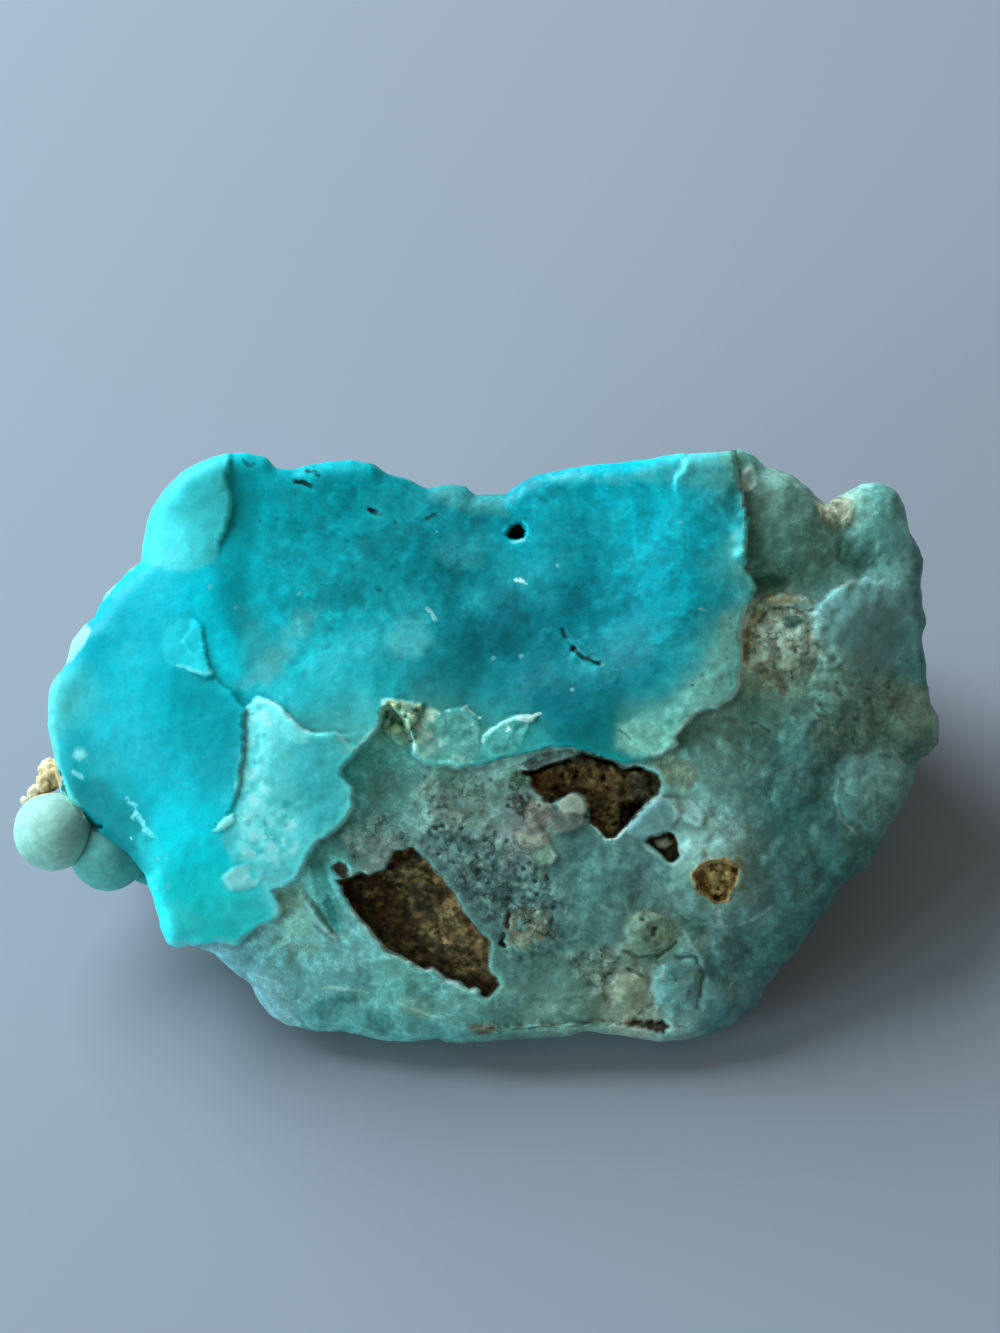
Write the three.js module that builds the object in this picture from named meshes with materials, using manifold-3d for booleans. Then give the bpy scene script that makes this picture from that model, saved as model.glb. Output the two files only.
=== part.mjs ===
// A raw lump of blue hemimorphite, 54.6 mm long, lying on its flattest side.
// It grew and broke as one piece, so it is one solid: a body with a broken blue shell in front,
// brown pockets sunk in it, botryoidal lumps on its right end and two round lobes on its left.
// Units are millimetres and +Z is up. The origin is under the middle of the stone, on the
// surface that it lies on. +X runs along its length and -Y points at its display side.
import * as THREE from "three";
import { mergeVertices } from "three/addons/utils/BufferGeometryUtils.js";
import Module from "manifold-3d";

// ---- Driving dimensions ------------------------------------------------------------------

// The forms of the display side are laid out on a display plane, as they are seen from an eye
// in front of the stone and above it. A point there is [across, up]; a third number is its
// rise from the plane towards the eye.
const EYE_ELEVATION = THREE.MathUtils.degToRad(55);
const EYE_DISTANCE = 200;
const EYE_AIM = [1.2, 4.9]; // where the eye's axis meets the display plane
const PLANE_CENTRE = new THREE.Vector3(0.02, -1.49, 11); // the plane's own zero, in the part's frame

const RIM_ROUNDING = 1.1; // fillet between the display side and the outline
const TAPER = 0.09; // how fast the sides draw in below the rim
const TAPER_CURVE = 0.012; // and how much faster further down
const BACK_ROUNDING = 3; // fillet between the sides and the back
const BACK_CENTRE = new THREE.Vector3(0.2, -0.3, 8.5);
const BACK_REACH = new THREE.Vector3(32, 17.6, 26); // half sizes of the back's rounded body
const BACK_POWER = 2.8; // 2 is an ellipsoid, more is boxier

// The sides and the back are botryoidal: domes that meet in creases, one round each seed of a
// jittered grid.
const DOME_CELL = 7.5; // spacing of the grid
const DOME_JITTER = 0.8; // share of a cell that a seed may move
const DOME_RADIUS = 7; // how round the domes are
const DOME_DEPTH = 1.9; // deepest crease
const DOME_ONSET = 3.5; // how far below the rim the domes have their full depth

// The underside: flat in the middle, where the stone rests, and rising to its edge.
const FOOT_CENTRE = [0.4, -0.2];
const FOOT_REACH = [24.5, 15.2]; // half sizes of the footprint
const FOOT_FLAT = 0.7; // share of them that is flat
const FOOT_RISE = 5;
const FOOT_ROUNDING = 0.6;
const FOOT_LEVEL = 0.01; // what lies lower than this is level with the surface under it

// The outline of the body, clockwise from its top left corner.
const OUTLINE = [
  [-14.7, 17.5], [-13.8, 17.5], [-12.6, 17.2], [-11.9, 16.6], [-11, 16.5], [-9.9, 16.8],
  [-8.8, 17], [-7.2, 17], [-6.2, 16.8], [-5.6, 16.3], [-4.1, 15.9], [-3.1, 15.3],
  [-2.6, 15.5], [-1.6, 15.6], [-0.8, 15.5], [-0.3, 15], [1.5, 15], [2.4, 15.7],
  [3.2, 16.1], [4.5, 16.4], [6.3, 16.7], [9.8, 17.1], [11.5, 17.4], [14.3, 17.5],
  [15.3, 17.7], [16, 17.4], [16.9, 16.6], [17.5, 16.5], [18.3, 16.2], [19.1, 15.6],
  [19.8, 15], [20.4, 14.4], [21.1, 14.9], [21.8, 15.3], [22.4, 15.8], [23.1, 16],
  [23.9, 15.9], [24.6, 15.6], [25, 15.1], [25.2, 14.2], [25.3, 12.9], [25.9, 12],
  [26.1, 11.2], [25.9, 9.8], [26.1, 8.4], [26.3, 7.5], [26, 6.5], [26.2, 5.6],
  [26.3, 4], [26.5, 2.7], [27, 2], [27.1, 1.2], [27, 0.4], [26.5, -0.2],
  [25.8, -0.6], [25.5, -2], [25, -3.1], [23.9, -4.7], [23.4, -6], [22.7, -7],
  [21.3, -7.8], [20.8, -8.8], [20, -10], [19, -11.3], [18.6, -12.1], [17.7, -12.8],
  [16.9, -14], [16.2, -15.2], [15.2, -16.1], [13.5, -16.9], [12, -17.3], [10.5, -17.4],
  [9, -17.1], [7.5, -16.8], [6.3, -16.6], [5, -17], [2, -17.2], [0.5, -17.35],
  [-1, -17.5], [-2.1, -17.4], [-2.4, -17.1], [-4.2, -17.3], [-5.3, -17.3], [-7, -16.9],
  [-8, -16.6], [-9.5, -16.6], [-11.3, -16.2], [-12.2, -15.7], [-13, -14.8], [-13.5, -13.8],
  [-14.5, -13], [-15.6, -12], [-17, -11.5], [-18, -11.6], [-18.3, -11.4], [-18.7, -10.6],
  [-19.1, -9], [-19.7, -7.3], [-20.6, -6.2], [-22.6, -4.6], [-23.6, -3.9], [-24.3, -3.4],
  [-24.7, -2.5], [-24.9, -1.5], [-25.1, 0.2], [-25.4, 1.5], [-25.4, 3], [-25.2, 3.9],
  [-24.3, 5.1], [-23.9, 6.5], [-23.4, 7.2], [-22.7, 7.7], [-22, 9.2], [-20.5, 10.6],
  [-19.9, 11.1], [-19.8, 12.3], [-19.6, 13.3], [-19.2, 14.3], [-18.5, 15.3], [-17.7, 16.2],
  [-16.8, 16.8], [-15.7, 17.2],
];

// Heights of the display side, as spots [across, up, rise], blended into one slow surface.
const SPOTS = [
  [-23, 12, 0.5], [-17, 15, 2.6], [-21, 8, 3.2], [-17.5, 9, 5.2], [-24, 3, 1.8], [-20, 3, 5.2],
  [-16.5, 3, 5.4], [-23.5, -2, 1.2], [-19.5, -3, 4.4], [-16, -5, 5.4], [-17, -10.5, 4.2],
  [-13, -9, 4.6], [-12, -1, 6], [-9, -4, 5.6], [-12, 14, 1.6], [-6, 15, 1], [-12, 9, 3.4],
  [-6, 9, 3], [0, 12, 1.8], [1, 6, 3.6], [-5, 4, 5], [-2, 0, 5.6], [4, 1, 5.4], [6, 14, 2.8],
  [7, 9, 3.4], [13, 15, 2.8], [13, 9, 4.8], [12, 3, 5.8], [9, 1, 5.4], [17, 15, 0.2],
  [18, 11, 1.2], [23.5, 13, -1.6], [17.8, 6.5, 3], [22.5, 7, 1.2], [26, 6, -2.5], [20, 2, 2.8],
  [26, 1.5, -2], [16, 0, 4.4], [23.3, -2.5, 1.6], [18.5, -4, 3.4], [14, -7.5, 4.6],
  [19.5, -8.5, 1.6], [16.5, -12.5, 1.2], [12, -12, 3], [13, -16, 0.9], [8, -8, 4.6],
  [8, -13.5, 3], [7, -16.3, 1.3], [3, -4, 4.8], [2, -10, 4.2], [1, -15.5, 1.9], [-4, -8, 4.6],
  [-4, -3, 4.6], [-7, -7, 4.8], [-7.5, -12, 3.4], [-6, -16, 1.4], [-11.5, -13, 1.6],
  [-14, -13, 1], [-11, -16, 0.9],
];
const SPOT_SPREAD = 2.6; // how far a spot's height is felt
const GRAIN = 0.14; // height of the rough texture below the shell
const SHELL_GRAIN = 0.05; // and on it
const POCKET_GRAIN = 0.45; // and on the pockets' floors

// The shell's broken rim: the display side stands proud inside this line.
const SHELL = [
  [-26, 19], [15.4, 19], [15.1, 16.4], [14.6, 14.7], [15.1, 13.2], [15.7, 12],
  [15.6, 10.7], [16.4, 9.5], [15.7, 8.4], [15.4, 6.5], [15.5, 5.2], [15.3, 4.5],
  [15.4, 3.8], [15, 3], [13.2, 2.4], [12.1, 1.6], [11.6, 0.2], [10.5, -0.3],
  [9.2, -1], [7.8, -0.7], [6, -0.1], [4, 0.2], [2.4, -0.3], [0.8, -0.8],
  [-1.2, -1.1], [-3, -1], [-4, 0.2], [-3.6, 1.6], [-5.4, 2.8], [-5.9, 1.1],
  [-6.8, 0], [-8.1, -1.3], [-7.4, -2.3], [-7.3, -3.5], [-8.6, -4.8], [-9.9, -5.7],
  [-10.7, -7.6], [-10, -9], [-11.6, -9.2], [-12, -9.9], [-13.4, -10.5], [-14.2, -11.4],
  [-16, -11.3], [-18, -11.7], [-28, -11.7],
];
const SHELL_STEP = 1.5; // height of the rim
const SHELL_FADE = 5; // how far from the rim the step has gone

// Lower steps on the shell: [outline, height, fade]. The surface rises inside the outline.
const STEPS = [
  // the left lobe, proud of the hollow beside it
  [[[-14.7, 19], [-14.8, 16.4], [-14.6, 14.3], [-15.3, 12.5], [-15.7, 10.3], [-17.3, 7.7],
    [-16.4, 7.2], [-16, 5.3], [-15.6, 4.3], [-17, 4.6], [-19, 5.2], [-28, 4], [-28, 19]], 0.7, 3],
  // the pale frosted patch, with the crack to its left
  [[[-14, 2.2], [-13, 3.2], [-11.6, 2.5], [-10.6, 1.2], [-8.8, 0.9], [-7.2, -1], [-7.4, -4],
    [-9.9, -6], [-10.6, -8.6], [-12.4, -8.3], [-14.4, -8.1], [-15, -7.4], [-13.2, -6.6],
    [-14.2, -5], [-15.5, -4.5], [-14.3, -3.8], [-14.4, -2.4], [-13.9, 0]], 0.8, 2.5],
  // two pale flakes on the lower rim
  [[[-3.9, 0.2], [-3.4, 1.7], [-2.2, 2.3], [-0.6, 2.4], [-0.1, 1.4], [-0.2, -1.3], [-3, -1.2]], 0.5, 2],
  [[[0, -0.2], [0.6, 1.1], [2.2, 1.9], [3.7, 2.1], [2.6, 1], [2.4, 0.2], [0.8, -1]], 0.5, 2],
];

// Brown pockets: [outline, depth]. Their floors lie under the surface around them.
const POCKETS = [
  [[[-8.6, -6.7], [-7.8, -7], [-6.8, -7.1], [-5.3, -6.6], [-4.2, -5.6], [-3.4, -6], [-2.2, -7.7],
    [-1.4, -8.4], [-0.7, -10.1], [0.5, -11.4], [0.6, -12.8], [1.1, -13.8], [0.6, -14.7],
    [-0.6, -14.2], [-2.2, -13.4], [-2.8, -12.7], [-4.2, -12.5], [-5.3, -11.8], [-6.6, -10.3],
    [-7.6, -9.2], [-8.6, -7.6]], 2],
  [[[2.3, -1.5], [4.3, -0.9], [6.2, -0.3], [8, -1], [10.3, -1.3], [10.8, -2.4], [9.6, -3.3],
    [8.2, -4.9], [7.3, -5.1], [6.5, -4.2], [6.3, -3.2], [5.3, -2.7], [4, -3.1], [2.6, -4.1],
    [1.7, -3.1]], 1.7],
  [[[9.7, -5.5], [11.2, -5], [11.8, -6], [11.3, -6.5]], 1.1],
  [[[12.6, -7.2], [13.7, -6.4], [15.2, -6.9], [14.8, -7.9], [14, -8.9], [12.9, -8.1]], 0.9],
];
const POCKET_EDGE = 0.15; // width of a pocket's wall as it is seen

// Botryoidal lumps on the display side, [across, up, radius, height over the surface].
const LUMPS = [
  [18.2, 13.1, 3.5, 1.7], [23.5, 13.1, 2.8, 1.7], [24.3, 10, 2.3, 1], [22.5, 6.9, 3.4, 1.7],
  [17.7, 6.2, 2.5, 1.3], [21.3, 3.4, 2.2, 1.1], [25.7, 1.6, 1.9, 1.1], [23.3, -2.2, 2.6, 1.3],
  [18.5, -2.4, 1.8, 0.7], [14.3, -0.6, 3, 1], [13.9, -7.5, 3.2, 1.5], [18.4, -7, 2.7, 0.9],
  [9.8, -10.8, 1.7, 0.9], [9, -13.9, 1.5, 0.9], [12, -13.7, 1.7, 1], [14.2, -11.8, 1.6, 0.7],
  [15.2, -14.4, 1.5, 0.7], [5.6, -14.2, 2.2, 0.7], [2.7, -10.5, 1.6, 0.5], [21, -5, 1.9, 0.7],
  [19.4, 0.4, 1.9, 0.8], [18, 9.9, 1.6, 0.7], [8, -7.9, 1.6, 0.4], [-3, -3.6, 2.2, 0.5],
  [-9, -13.2, 2.4, 0.6], [-4.6, -15, 1.8, 0.5],
];

// Round lobes at the left end, [across, up, rise, radius]; the last two carry the first two.
const LOBES = [
  [-25.2, -4.75, 0.9, 2.3],
  [-21.8, -6.1, -0.2, 2.2],
  [-21.7, -2.6, -1.6, 2.9],
  [-19, -5.4, -2.8, 2.6],
];
// Tan crumbs wedged over the pale lobe, [across, up, rise, radius].
const CRUMBS = [
  [-25.1, -1.5, 0.3, 0.9],
  [-25.9, -2.3, 0.5, 0.7],
];
// Stubby crystals set in the display side, [across, up, height over it, radius, turn].
const CRYSTALS = [
  [15.8, 16, -0.3, 1.2, 0.4],
  [20.5, 13.9, 0, 1, 1.1],
  [2.2, -4.8, -0.5, 1.3, 0.2],
  [3.7, -5.2, -0.6, 1.6, 0.9],
  [5.2, -3.9, -0.6, 1.6, 1.7],
  [2.2, -2.9, -0.4, 1.2, 2.3],
  [10.3, -4, -0.7, 1.8, 0.5],
  [12.5, -3.6, -0.4, 1.2, 1.4],
  [-2.7, 1.1, -0.4, 1.5, 0.7],
  [-0.9, 0.9, -0.5, 1.4, 1.9],
  [-12.8, 0.7, -0.7, 1.6, 0.3],
  [-14.2, -7.2, -0.4, 1.2, 2],
];

const SPHERE_DETAIL = 19; // the body has 20 * (detail + 1)^2 faces
const FRONT_BIAS = 0.3; // draws the vertices towards the display side
const CORE = { across: 20, up: 10, deep: 4, centre: [0, 1, -4.5] }; // rays leave this ellipsoid
const SEARCH_REACH = 30; // how far outside the core the search for the surface starts
const SEARCH_STEP = 0.2;
const SNAP_WIDTH = 1.3; // vertices of the display side this near a rim are drawn to it

// ---- The display plane ---------------------------------------------------------------------

const ACROSS = new THREE.Vector3(1, 0, 0);
const UP = new THREE.Vector3(0, Math.sin(EYE_ELEVATION), Math.cos(EYE_ELEVATION));
const TOWARD = new THREE.Vector3(0, -Math.cos(EYE_ELEVATION), Math.sin(EYE_ELEVATION));

/** A point of the part's frame as [across, up, rise] on the display plane. */
function asSeen(point) {
  const offset = point.clone().sub(PLANE_CENTRE);
  const rise = offset.dot(TOWARD);
  const grow = EYE_DISTANCE / (EYE_DISTANCE - rise);
  return [
    EYE_AIM[0] + (offset.dot(ACROSS) - EYE_AIM[0]) * grow,
    EYE_AIM[1] + (offset.dot(UP) - EYE_AIM[1]) * grow,
    rise,
  ];
}

/** The point of the part's frame that is seen at (across, up) and rises that far from the plane. */
function placed(across, up, rise) {
  const shrink = (EYE_DISTANCE - rise) / EYE_DISTANCE;
  return PLANE_CENTRE.clone()
    .addScaledVector(ACROSS, EYE_AIM[0] + (across - EYE_AIM[0]) * shrink)
    .addScaledVector(UP, EYE_AIM[1] + (up - EYE_AIM[1]) * shrink)
    .addScaledVector(TOWARD, rise);
}

/** Signed distance from (x, y) to a closed outline, negative inside, with its nearest point. */
function toOutline(outline, x, y) {
  let best = Infinity;
  let nearest = [x, y];
  let inside = false;
  for (let i = 0, j = outline.length - 1; i < outline.length; j = i, i += 1) {
    const [ax, ay] = outline[j];
    const [bx, by] = outline[i];
    const along = ((x - ax) * (bx - ax) + (y - ay) * (by - ay)) / ((bx - ax) ** 2 + (by - ay) ** 2);
    const t = THREE.MathUtils.clamp(along, 0, 1);
    const px = ax + t * (bx - ax);
    const py = ay + t * (by - ay);
    const gap = Math.hypot(x - px, y - py);
    if (gap < best) {
      best = gap;
      nearest = [px, py];
    }
    if (ay > y !== by > y && x < ((bx - ax) * (y - ay)) / (by - ay) + ax) inside = !inside;
  }
  return { distance: inside ? -best : best, nearest };
}

// ---- The stone as a field: negative inside, about a distance outside -------------------------

/** The larger of two distances, with the corner between them rounded. */
function roundedMax(a, b, radius) {
  const outside = Math.hypot(Math.max(a + radius, 0), Math.max(b + radius, 0)) - radius;
  return Math.min(Math.max(a, b), -radius) + Math.max(outside + radius, 0);
}

/** How much a rim lifts the surface: half its step up inside it, half down outside, then fading. */
function stepAt(distance, height, fade) {
  return Math.sign(-distance) * (height / 2) * Math.exp(-Math.abs(distance) / fade);
}

/** Slow surface of the display side through the spots. */
function spotHeight(x, y) {
  let sum = 0;
  let weight = 0;
  for (const [sx, sy, rise] of SPOTS) {
    const w = Math.exp(-((x - sx) ** 2 + (y - sy) ** 2) / (2 * SPOT_SPREAD ** 2)) + 1e-9;
    sum += w * rise;
    weight += w;
  }
  return sum / weight;
}

/** Height of a round lump over the surface at (x, y), 0 outside it. */
function lumpHeight([cx, cy, radius, height], x, y) {
  const reach = Math.hypot(x - cx, y - cy) / radius;
  return reach < 1 ? height * Math.sqrt(1 - reach * reach) : 0;
}

/** Rough texture at (x, y), from -1 to 1. */
function grain(x, y) {
  const across = Math.sin(1.25 * x + 2.3 * Math.sin(0.6 * y));
  return across * Math.sin(1.4 * y + 1.7 * Math.sin(0.7 * x));
}

/** Rise of the whole display side at (x, y). */
function relief(x, y) {
  const shell = toOutline(SHELL, x, y).distance;
  const rough = grain(x, y);
  let rise = spotHeight(x, y) + Math.max(...LUMPS.map((lump) => lumpHeight(lump, x, y)));
  rise += stepAt(shell, SHELL_STEP, SHELL_FADE) + rough * (shell < 0 ? SHELL_GRAIN : GRAIN);
  for (const [outline, height, fade] of STEPS) {
    rise += stepAt(toOutline(outline, x, y).distance, height, fade);
  }
  for (const [outline, depth] of POCKETS) {
    const inward = -toOutline(outline, x, y).distance;
    const sunk = THREE.MathUtils.smoothstep(inward, 0, POCKET_EDGE);
    rise -= sunk * (depth + rough * POCKET_GRAIN);
  }
  return rise;
}

/** A repeatable number from 0 to 1 for a cell of the dome grid and a channel. */
function scatter(i, j, k, channel) {
  const wave = Math.sin(i * 12.9898 + j * 78.233 + k * 37.719 + channel * 9.1) * 437.585;
  return wave - Math.floor(wave);
}

/** How deep the point lies between the domes: 0 at a dome's middle, most in the creases. */
function creaseDepth(point, cell) {
  const base = [point.x, point.y, point.z].map((v) => Math.floor(v / cell));
  let nearest = Infinity;
  for (let i = base[0] - 1; i <= base[0] + 1; i += 1) {
    for (let j = base[1] - 1; j <= base[1] + 1; j += 1) {
      for (let k = base[2] - 1; k <= base[2] + 1; k += 1) {
        const seed = [i, j, k].map((v, axis) => {
          return (v + 0.5 + DOME_JITTER * (scatter(i, j, k, axis) - 0.5)) * cell;
        });
        const gap = (point.x - seed[0]) ** 2 + (point.y - seed[1]) ** 2 + (point.z - seed[2]) ** 2;
        nearest = Math.min(nearest, gap);
      }
    }
  }
  return nearest / (2 * DOME_RADIUS);
}

/** Signed distance to a box with very round sides behind the display side. */
function backBody(point) {
  const x = Math.abs(point.x - BACK_CENTRE.x) / BACK_REACH.x;
  const y = Math.abs(point.y - BACK_CENTRE.y) / BACK_REACH.y;
  const z = Math.abs(point.z - BACK_CENTRE.z) / BACK_REACH.z;
  const reach = (x ** BACK_POWER + y ** BACK_POWER + z ** BACK_POWER) ** (1 / BACK_POWER);
  return (reach - 1) * BACK_REACH.y;
}

/** Height of the underside over the surface that the stone lies on. */
function underside(point) {
  const x = (point.x - FOOT_CENTRE[0]) / FOOT_REACH[0];
  const y = (point.y - FOOT_CENTRE[1]) / FOOT_REACH[1];
  const turn = Math.atan2(y, x);
  const wander = 0.07 * Math.sin(3 * turn + 0.6) + 0.05 * Math.sin(7 * turn + 2);
  return FOOT_RISE * Math.max(0, Math.hypot(x, y) - FOOT_FLAT - wander) ** 1.7;
}

/** The stone's body. */
function body(point) {
  const [x, y, rise] = asSeen(point);
  const outline = toOutline(OUTLINE, x, y).distance;
  const back = backBody(point);
  if (Math.max(outline, back) > 1) return Math.max(outline, back);
  const front = rise - relief(x, y);
  const below = Math.max(0, -front - RIM_ROUNDING);
  const sides = roundedMax(outline + below * (TAPER + TAPER_CURVE * below), back, BACK_ROUNDING);
  const onset = THREE.MathUtils.smoothstep(below, 0, DOME_ONSET);
  const crease = onset * Math.min(DOME_DEPTH, creaseDepth(point, DOME_CELL));
  const field = roundedMax(front, sides + crease, RIM_ROUNDING);
  return roundedMax(field, underside(point) - point.z, FOOT_ROUNDING);
}

// ---- Solids ----------------------------------------------------------------------------------

/** The outermost point of the body on a ray, searched from far outside inwards. */
function surfaceOn(start, direction, reach) {
  const at = (distance) => body(start.clone().addScaledVector(direction, distance));
  let far = reach;
  let value = at(far);
  let last = far;
  while (far > 0 && value > 0) {
    last = far;
    far -= Math.max(SEARCH_STEP, value * 0.5);
    value = at(far);
  }
  let near = far;
  far = last;
  for (let i = 0; i < 10; i += 1) {
    const middle = (near + far) / 2;
    if (at(middle) > 0) far = middle;
    else near = middle;
  }
  return start.clone().addScaledVector(direction, near);
}

const RIMS = [SHELL, ...STEPS.map((step) => step[0]), ...POCKETS.map((pocket) => pocket[0])];

/** Draws a point of the display side to its nearest rim, so that the rim's wall is narrow. */
function snapped(point) {
  const [x, y, rise] = asSeen(point);
  if (toOutline(OUTLINE, x, y).distance > -0.5) return point;
  if (Math.abs(rise - relief(x, y)) > 1.5) return point;
  let size = SNAP_WIDTH;
  let rim = null;
  for (const outline of RIMS) {
    const { distance, nearest } = toOutline(outline, x, y);
    if (Math.abs(distance) < size) {
      size = Math.abs(distance);
      rim = nearest;
    }
  }
  if (!rim) return point;
  const share = (size / SNAP_WIDTH) ** 2;
  const sx = rim[0] + (x - rim[0]) * share;
  const sy = rim[1] + (y - rim[1]) * share;
  const low = placed(sx, sy, rise - 4);
  return surfaceOn(low, placed(sx, sy, rise + 4).sub(low).normalize(), 8);
}

/** A geometry with its shared vertices merged, so that it is closed. */
function joined(geometry) {
  geometry.deleteAttribute("normal");
  geometry.deleteAttribute("uv");
  return mergeVertices(geometry, 1e-5);
}

/** A ball whose vertices sit on the body's surface. */
function bodyGeometry() {
  const geometry = joined(new THREE.IcosahedronGeometry(1, SPHERE_DETAIL));
  const position = geometry.getAttribute("position");
  const n = new THREE.Vector3();
  for (let i = 0; i < position.count; i += 1) {
    n.fromBufferAttribute(position, i);
    n.z += FRONT_BIAS;
    n.normalize();
    const start = placed(...CORE.centre)
      .addScaledVector(ACROSS, n.x * CORE.across)
      .addScaledVector(UP, n.y * CORE.up)
      .addScaledVector(TOWARD, n.z * CORE.deep);
    const ray = new THREE.Vector3()
      .addScaledVector(ACROSS, n.x / CORE.across)
      .addScaledVector(UP, n.y / CORE.up)
      .addScaledVector(TOWARD, n.z / CORE.deep)
      .normalize();
    const point = snapped(surfaceOn(start, ray, SEARCH_REACH));
    if (point.z < FOOT_LEVEL) point.z = 0;
    position.setXYZ(i, point.x, point.y, point.z);
  }
  return geometry;
}

/** A round lobe at its place. */
function lobeGeometry([x, y, rise, radius], detail) {
  const geometry = new THREE.IcosahedronGeometry(radius, detail);
  const centre = placed(x, y, rise);
  return joined(geometry.translate(centre.x, centre.y, centre.z));
}

/** A stubby crystal, standing on the display side and turned about the eye's direction. */
function crystalGeometry([x, y, height, radius, turn]) {
  const geometry = new THREE.DodecahedronGeometry(radius);
  const centre = placed(x, y, relief(x, y) + height);
  geometry.scale(1, 1.2, 0.75).rotateX(turn).rotateZ(turn * 2);
  return joined(geometry.translate(centre.x, centre.y, centre.z));
}

const wasm = await Module();
wasm.setup();

/** A closed geometry as a manifold solid. */
function solidOf(geometry) {
  return new wasm.Manifold(
    new wasm.Mesh({
      numProp: 3,
      vertProperties: geometry.getAttribute("position").array,
      triVerts: new Uint32Array(geometry.index.array),
    }),
  );
}

/** The stone: its body with the lobes, crumbs and crystals joined to it. */
function stoneGeometry() {
  let solid = solidOf(bodyGeometry());
  for (const lobe of LOBES) solid = solid.add(solidOf(lobeGeometry(lobe, 2)));
  for (const crumb of CRUMBS) solid = solid.add(solidOf(lobeGeometry(crumb, 1)));
  for (const crystal of CRYSTALS) solid = solid.add(solidOf(crystalGeometry(crystal)));
  const mesh = solid.getMesh();
  const geometry = new THREE.BufferGeometry();
  geometry.setAttribute("position", new THREE.BufferAttribute(mesh.vertProperties, 3));
  geometry.setIndex(new THREE.BufferAttribute(mesh.triVerts, 1));
  geometry.computeVertexNormals();
  return geometry;
}

const stone = new THREE.Mesh(
  stoneGeometry(),
  new THREE.MeshStandardMaterial({ color: 0x2fa9ad, roughness: 0.45, metalness: 0 }),
);
stone.name = "hemimorphite";
const part = new THREE.Group();
part.add(stone);
export default part;
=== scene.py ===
"""Raw blue hemimorphite, 54.6 mm long, lying on a pale studio floor.

The stone is one mesh. Its display side is laid out on a plane square to an eye in front of it and
above it: across, up, and the rise from the plane towards the eye. All positions are in millimetres
until the mesh is finished.
"""
import logging
import math
from dataclasses import dataclass
from enum import Enum
from itertools import product
from typing import Sequence

import bpy
import numpy as np
from mathutils import Matrix, Vector


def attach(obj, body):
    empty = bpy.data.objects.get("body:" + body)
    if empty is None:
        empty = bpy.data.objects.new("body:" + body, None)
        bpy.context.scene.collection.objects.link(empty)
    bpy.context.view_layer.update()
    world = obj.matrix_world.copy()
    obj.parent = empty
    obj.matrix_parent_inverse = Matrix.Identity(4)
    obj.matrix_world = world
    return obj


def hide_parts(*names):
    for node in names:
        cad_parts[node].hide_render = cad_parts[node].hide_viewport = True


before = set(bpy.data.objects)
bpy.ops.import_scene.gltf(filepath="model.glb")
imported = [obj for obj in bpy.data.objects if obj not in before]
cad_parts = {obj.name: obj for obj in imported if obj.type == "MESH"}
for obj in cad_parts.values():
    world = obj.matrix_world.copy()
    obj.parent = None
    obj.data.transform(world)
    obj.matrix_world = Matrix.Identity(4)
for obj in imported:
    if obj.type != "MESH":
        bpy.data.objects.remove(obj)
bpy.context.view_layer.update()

Array = np.ndarray
Point = tuple[float, float]
Triple = tuple[float, float, float]
Path = Sequence[float]  # places on the display plane: across, up, across, up and so on
Colour = int  # 0xRRGGBB, as a display shows it
Object = bpy.types.Object
Mesh = bpy.types.Mesh
Socket = bpy.types.NodeSocket
Inputs = dict[str | int, object]
MM = 0.001
LOG = logging.getLogger("hemimorphite")


# ---- Small mathematics ----


def smooth(value: Array, low: float, high: float) -> Array:
    """Smooth step of an array from low to high.

    Args:
        value: numbers to map.
        low: where the result is 0.
        high: where the result is 1.

    Returns:
        Numbers from 0 to 1.
    """
    t = np.clip((value - low) / (high - low), 0.0, 1.0)
    return t * t * (3.0 - 2.0 * t)


def rounded_max(a: Array, b: Array, radius: float) -> Array:
    """The larger of two distances, with the corner between them rounded to a radius."""
    outside = np.hypot(np.maximum(a + radius, 0.0), np.maximum(b + radius, 0.0)) - radius
    return np.minimum(np.maximum(a, b), -radius) + np.maximum(outside + radius, 0.0)


def linear(colour: Colour) -> Array:
    """A colour as linear light."""
    c = np.array([colour >> 16, colour >> 8 & 255, colour & 255]) / 255.0
    return np.where(c <= 0.04045, c / 12.92, ((c + 0.055) / 1.055) ** 2.4)


def mix(under: Array, over: Array, share: Array) -> Array:
    """Lays one colour over another.

    Args:
        under: one colour, or n by 3.
        over: one colour, or n by 3.
        share: n numbers from 0 to 1.

    Returns:
        n by 3 colours.
    """
    return under + (over - under) * np.clip(share, 0.0, 1.0)[:, None]


def lattice_noise(points: Array, cell: float, seed: int) -> Array:
    """Smooth noise from -1 to 1 that repeats exactly for a seed.

    Args:
        points: n by 3 positions.
        cell: size of one wave in millimetres.
        seed: which noise of a family this is.

    Returns:
        One number a point.
    """
    q = points / cell + seed * 17.31
    base = np.floor(q).astype(np.int64)
    f = q - base
    f = f * f * f * (f * (f * 6.0 - 15.0) + 10.0)
    total = np.zeros(len(points))
    for corner in product((0, 1), repeat=3):
        at = base + np.array(corner)
        h = at[:, 0] * 73856093 ^ at[:, 1] * 19349663 ^ at[:, 2] * 83492791 ^ (seed * 265443576)
        h = (h ^ (h >> 13)) * 1274126177
        value = ((h ^ (h >> 16)) & 0xFFFFFF) / 0x7FFFFF - 1.0
        share = np.ones(len(points))
        for axis in range(3):
            share *= f[:, axis] if corner[axis] else 1.0 - f[:, axis]
        total += share * value
    return total


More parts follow.
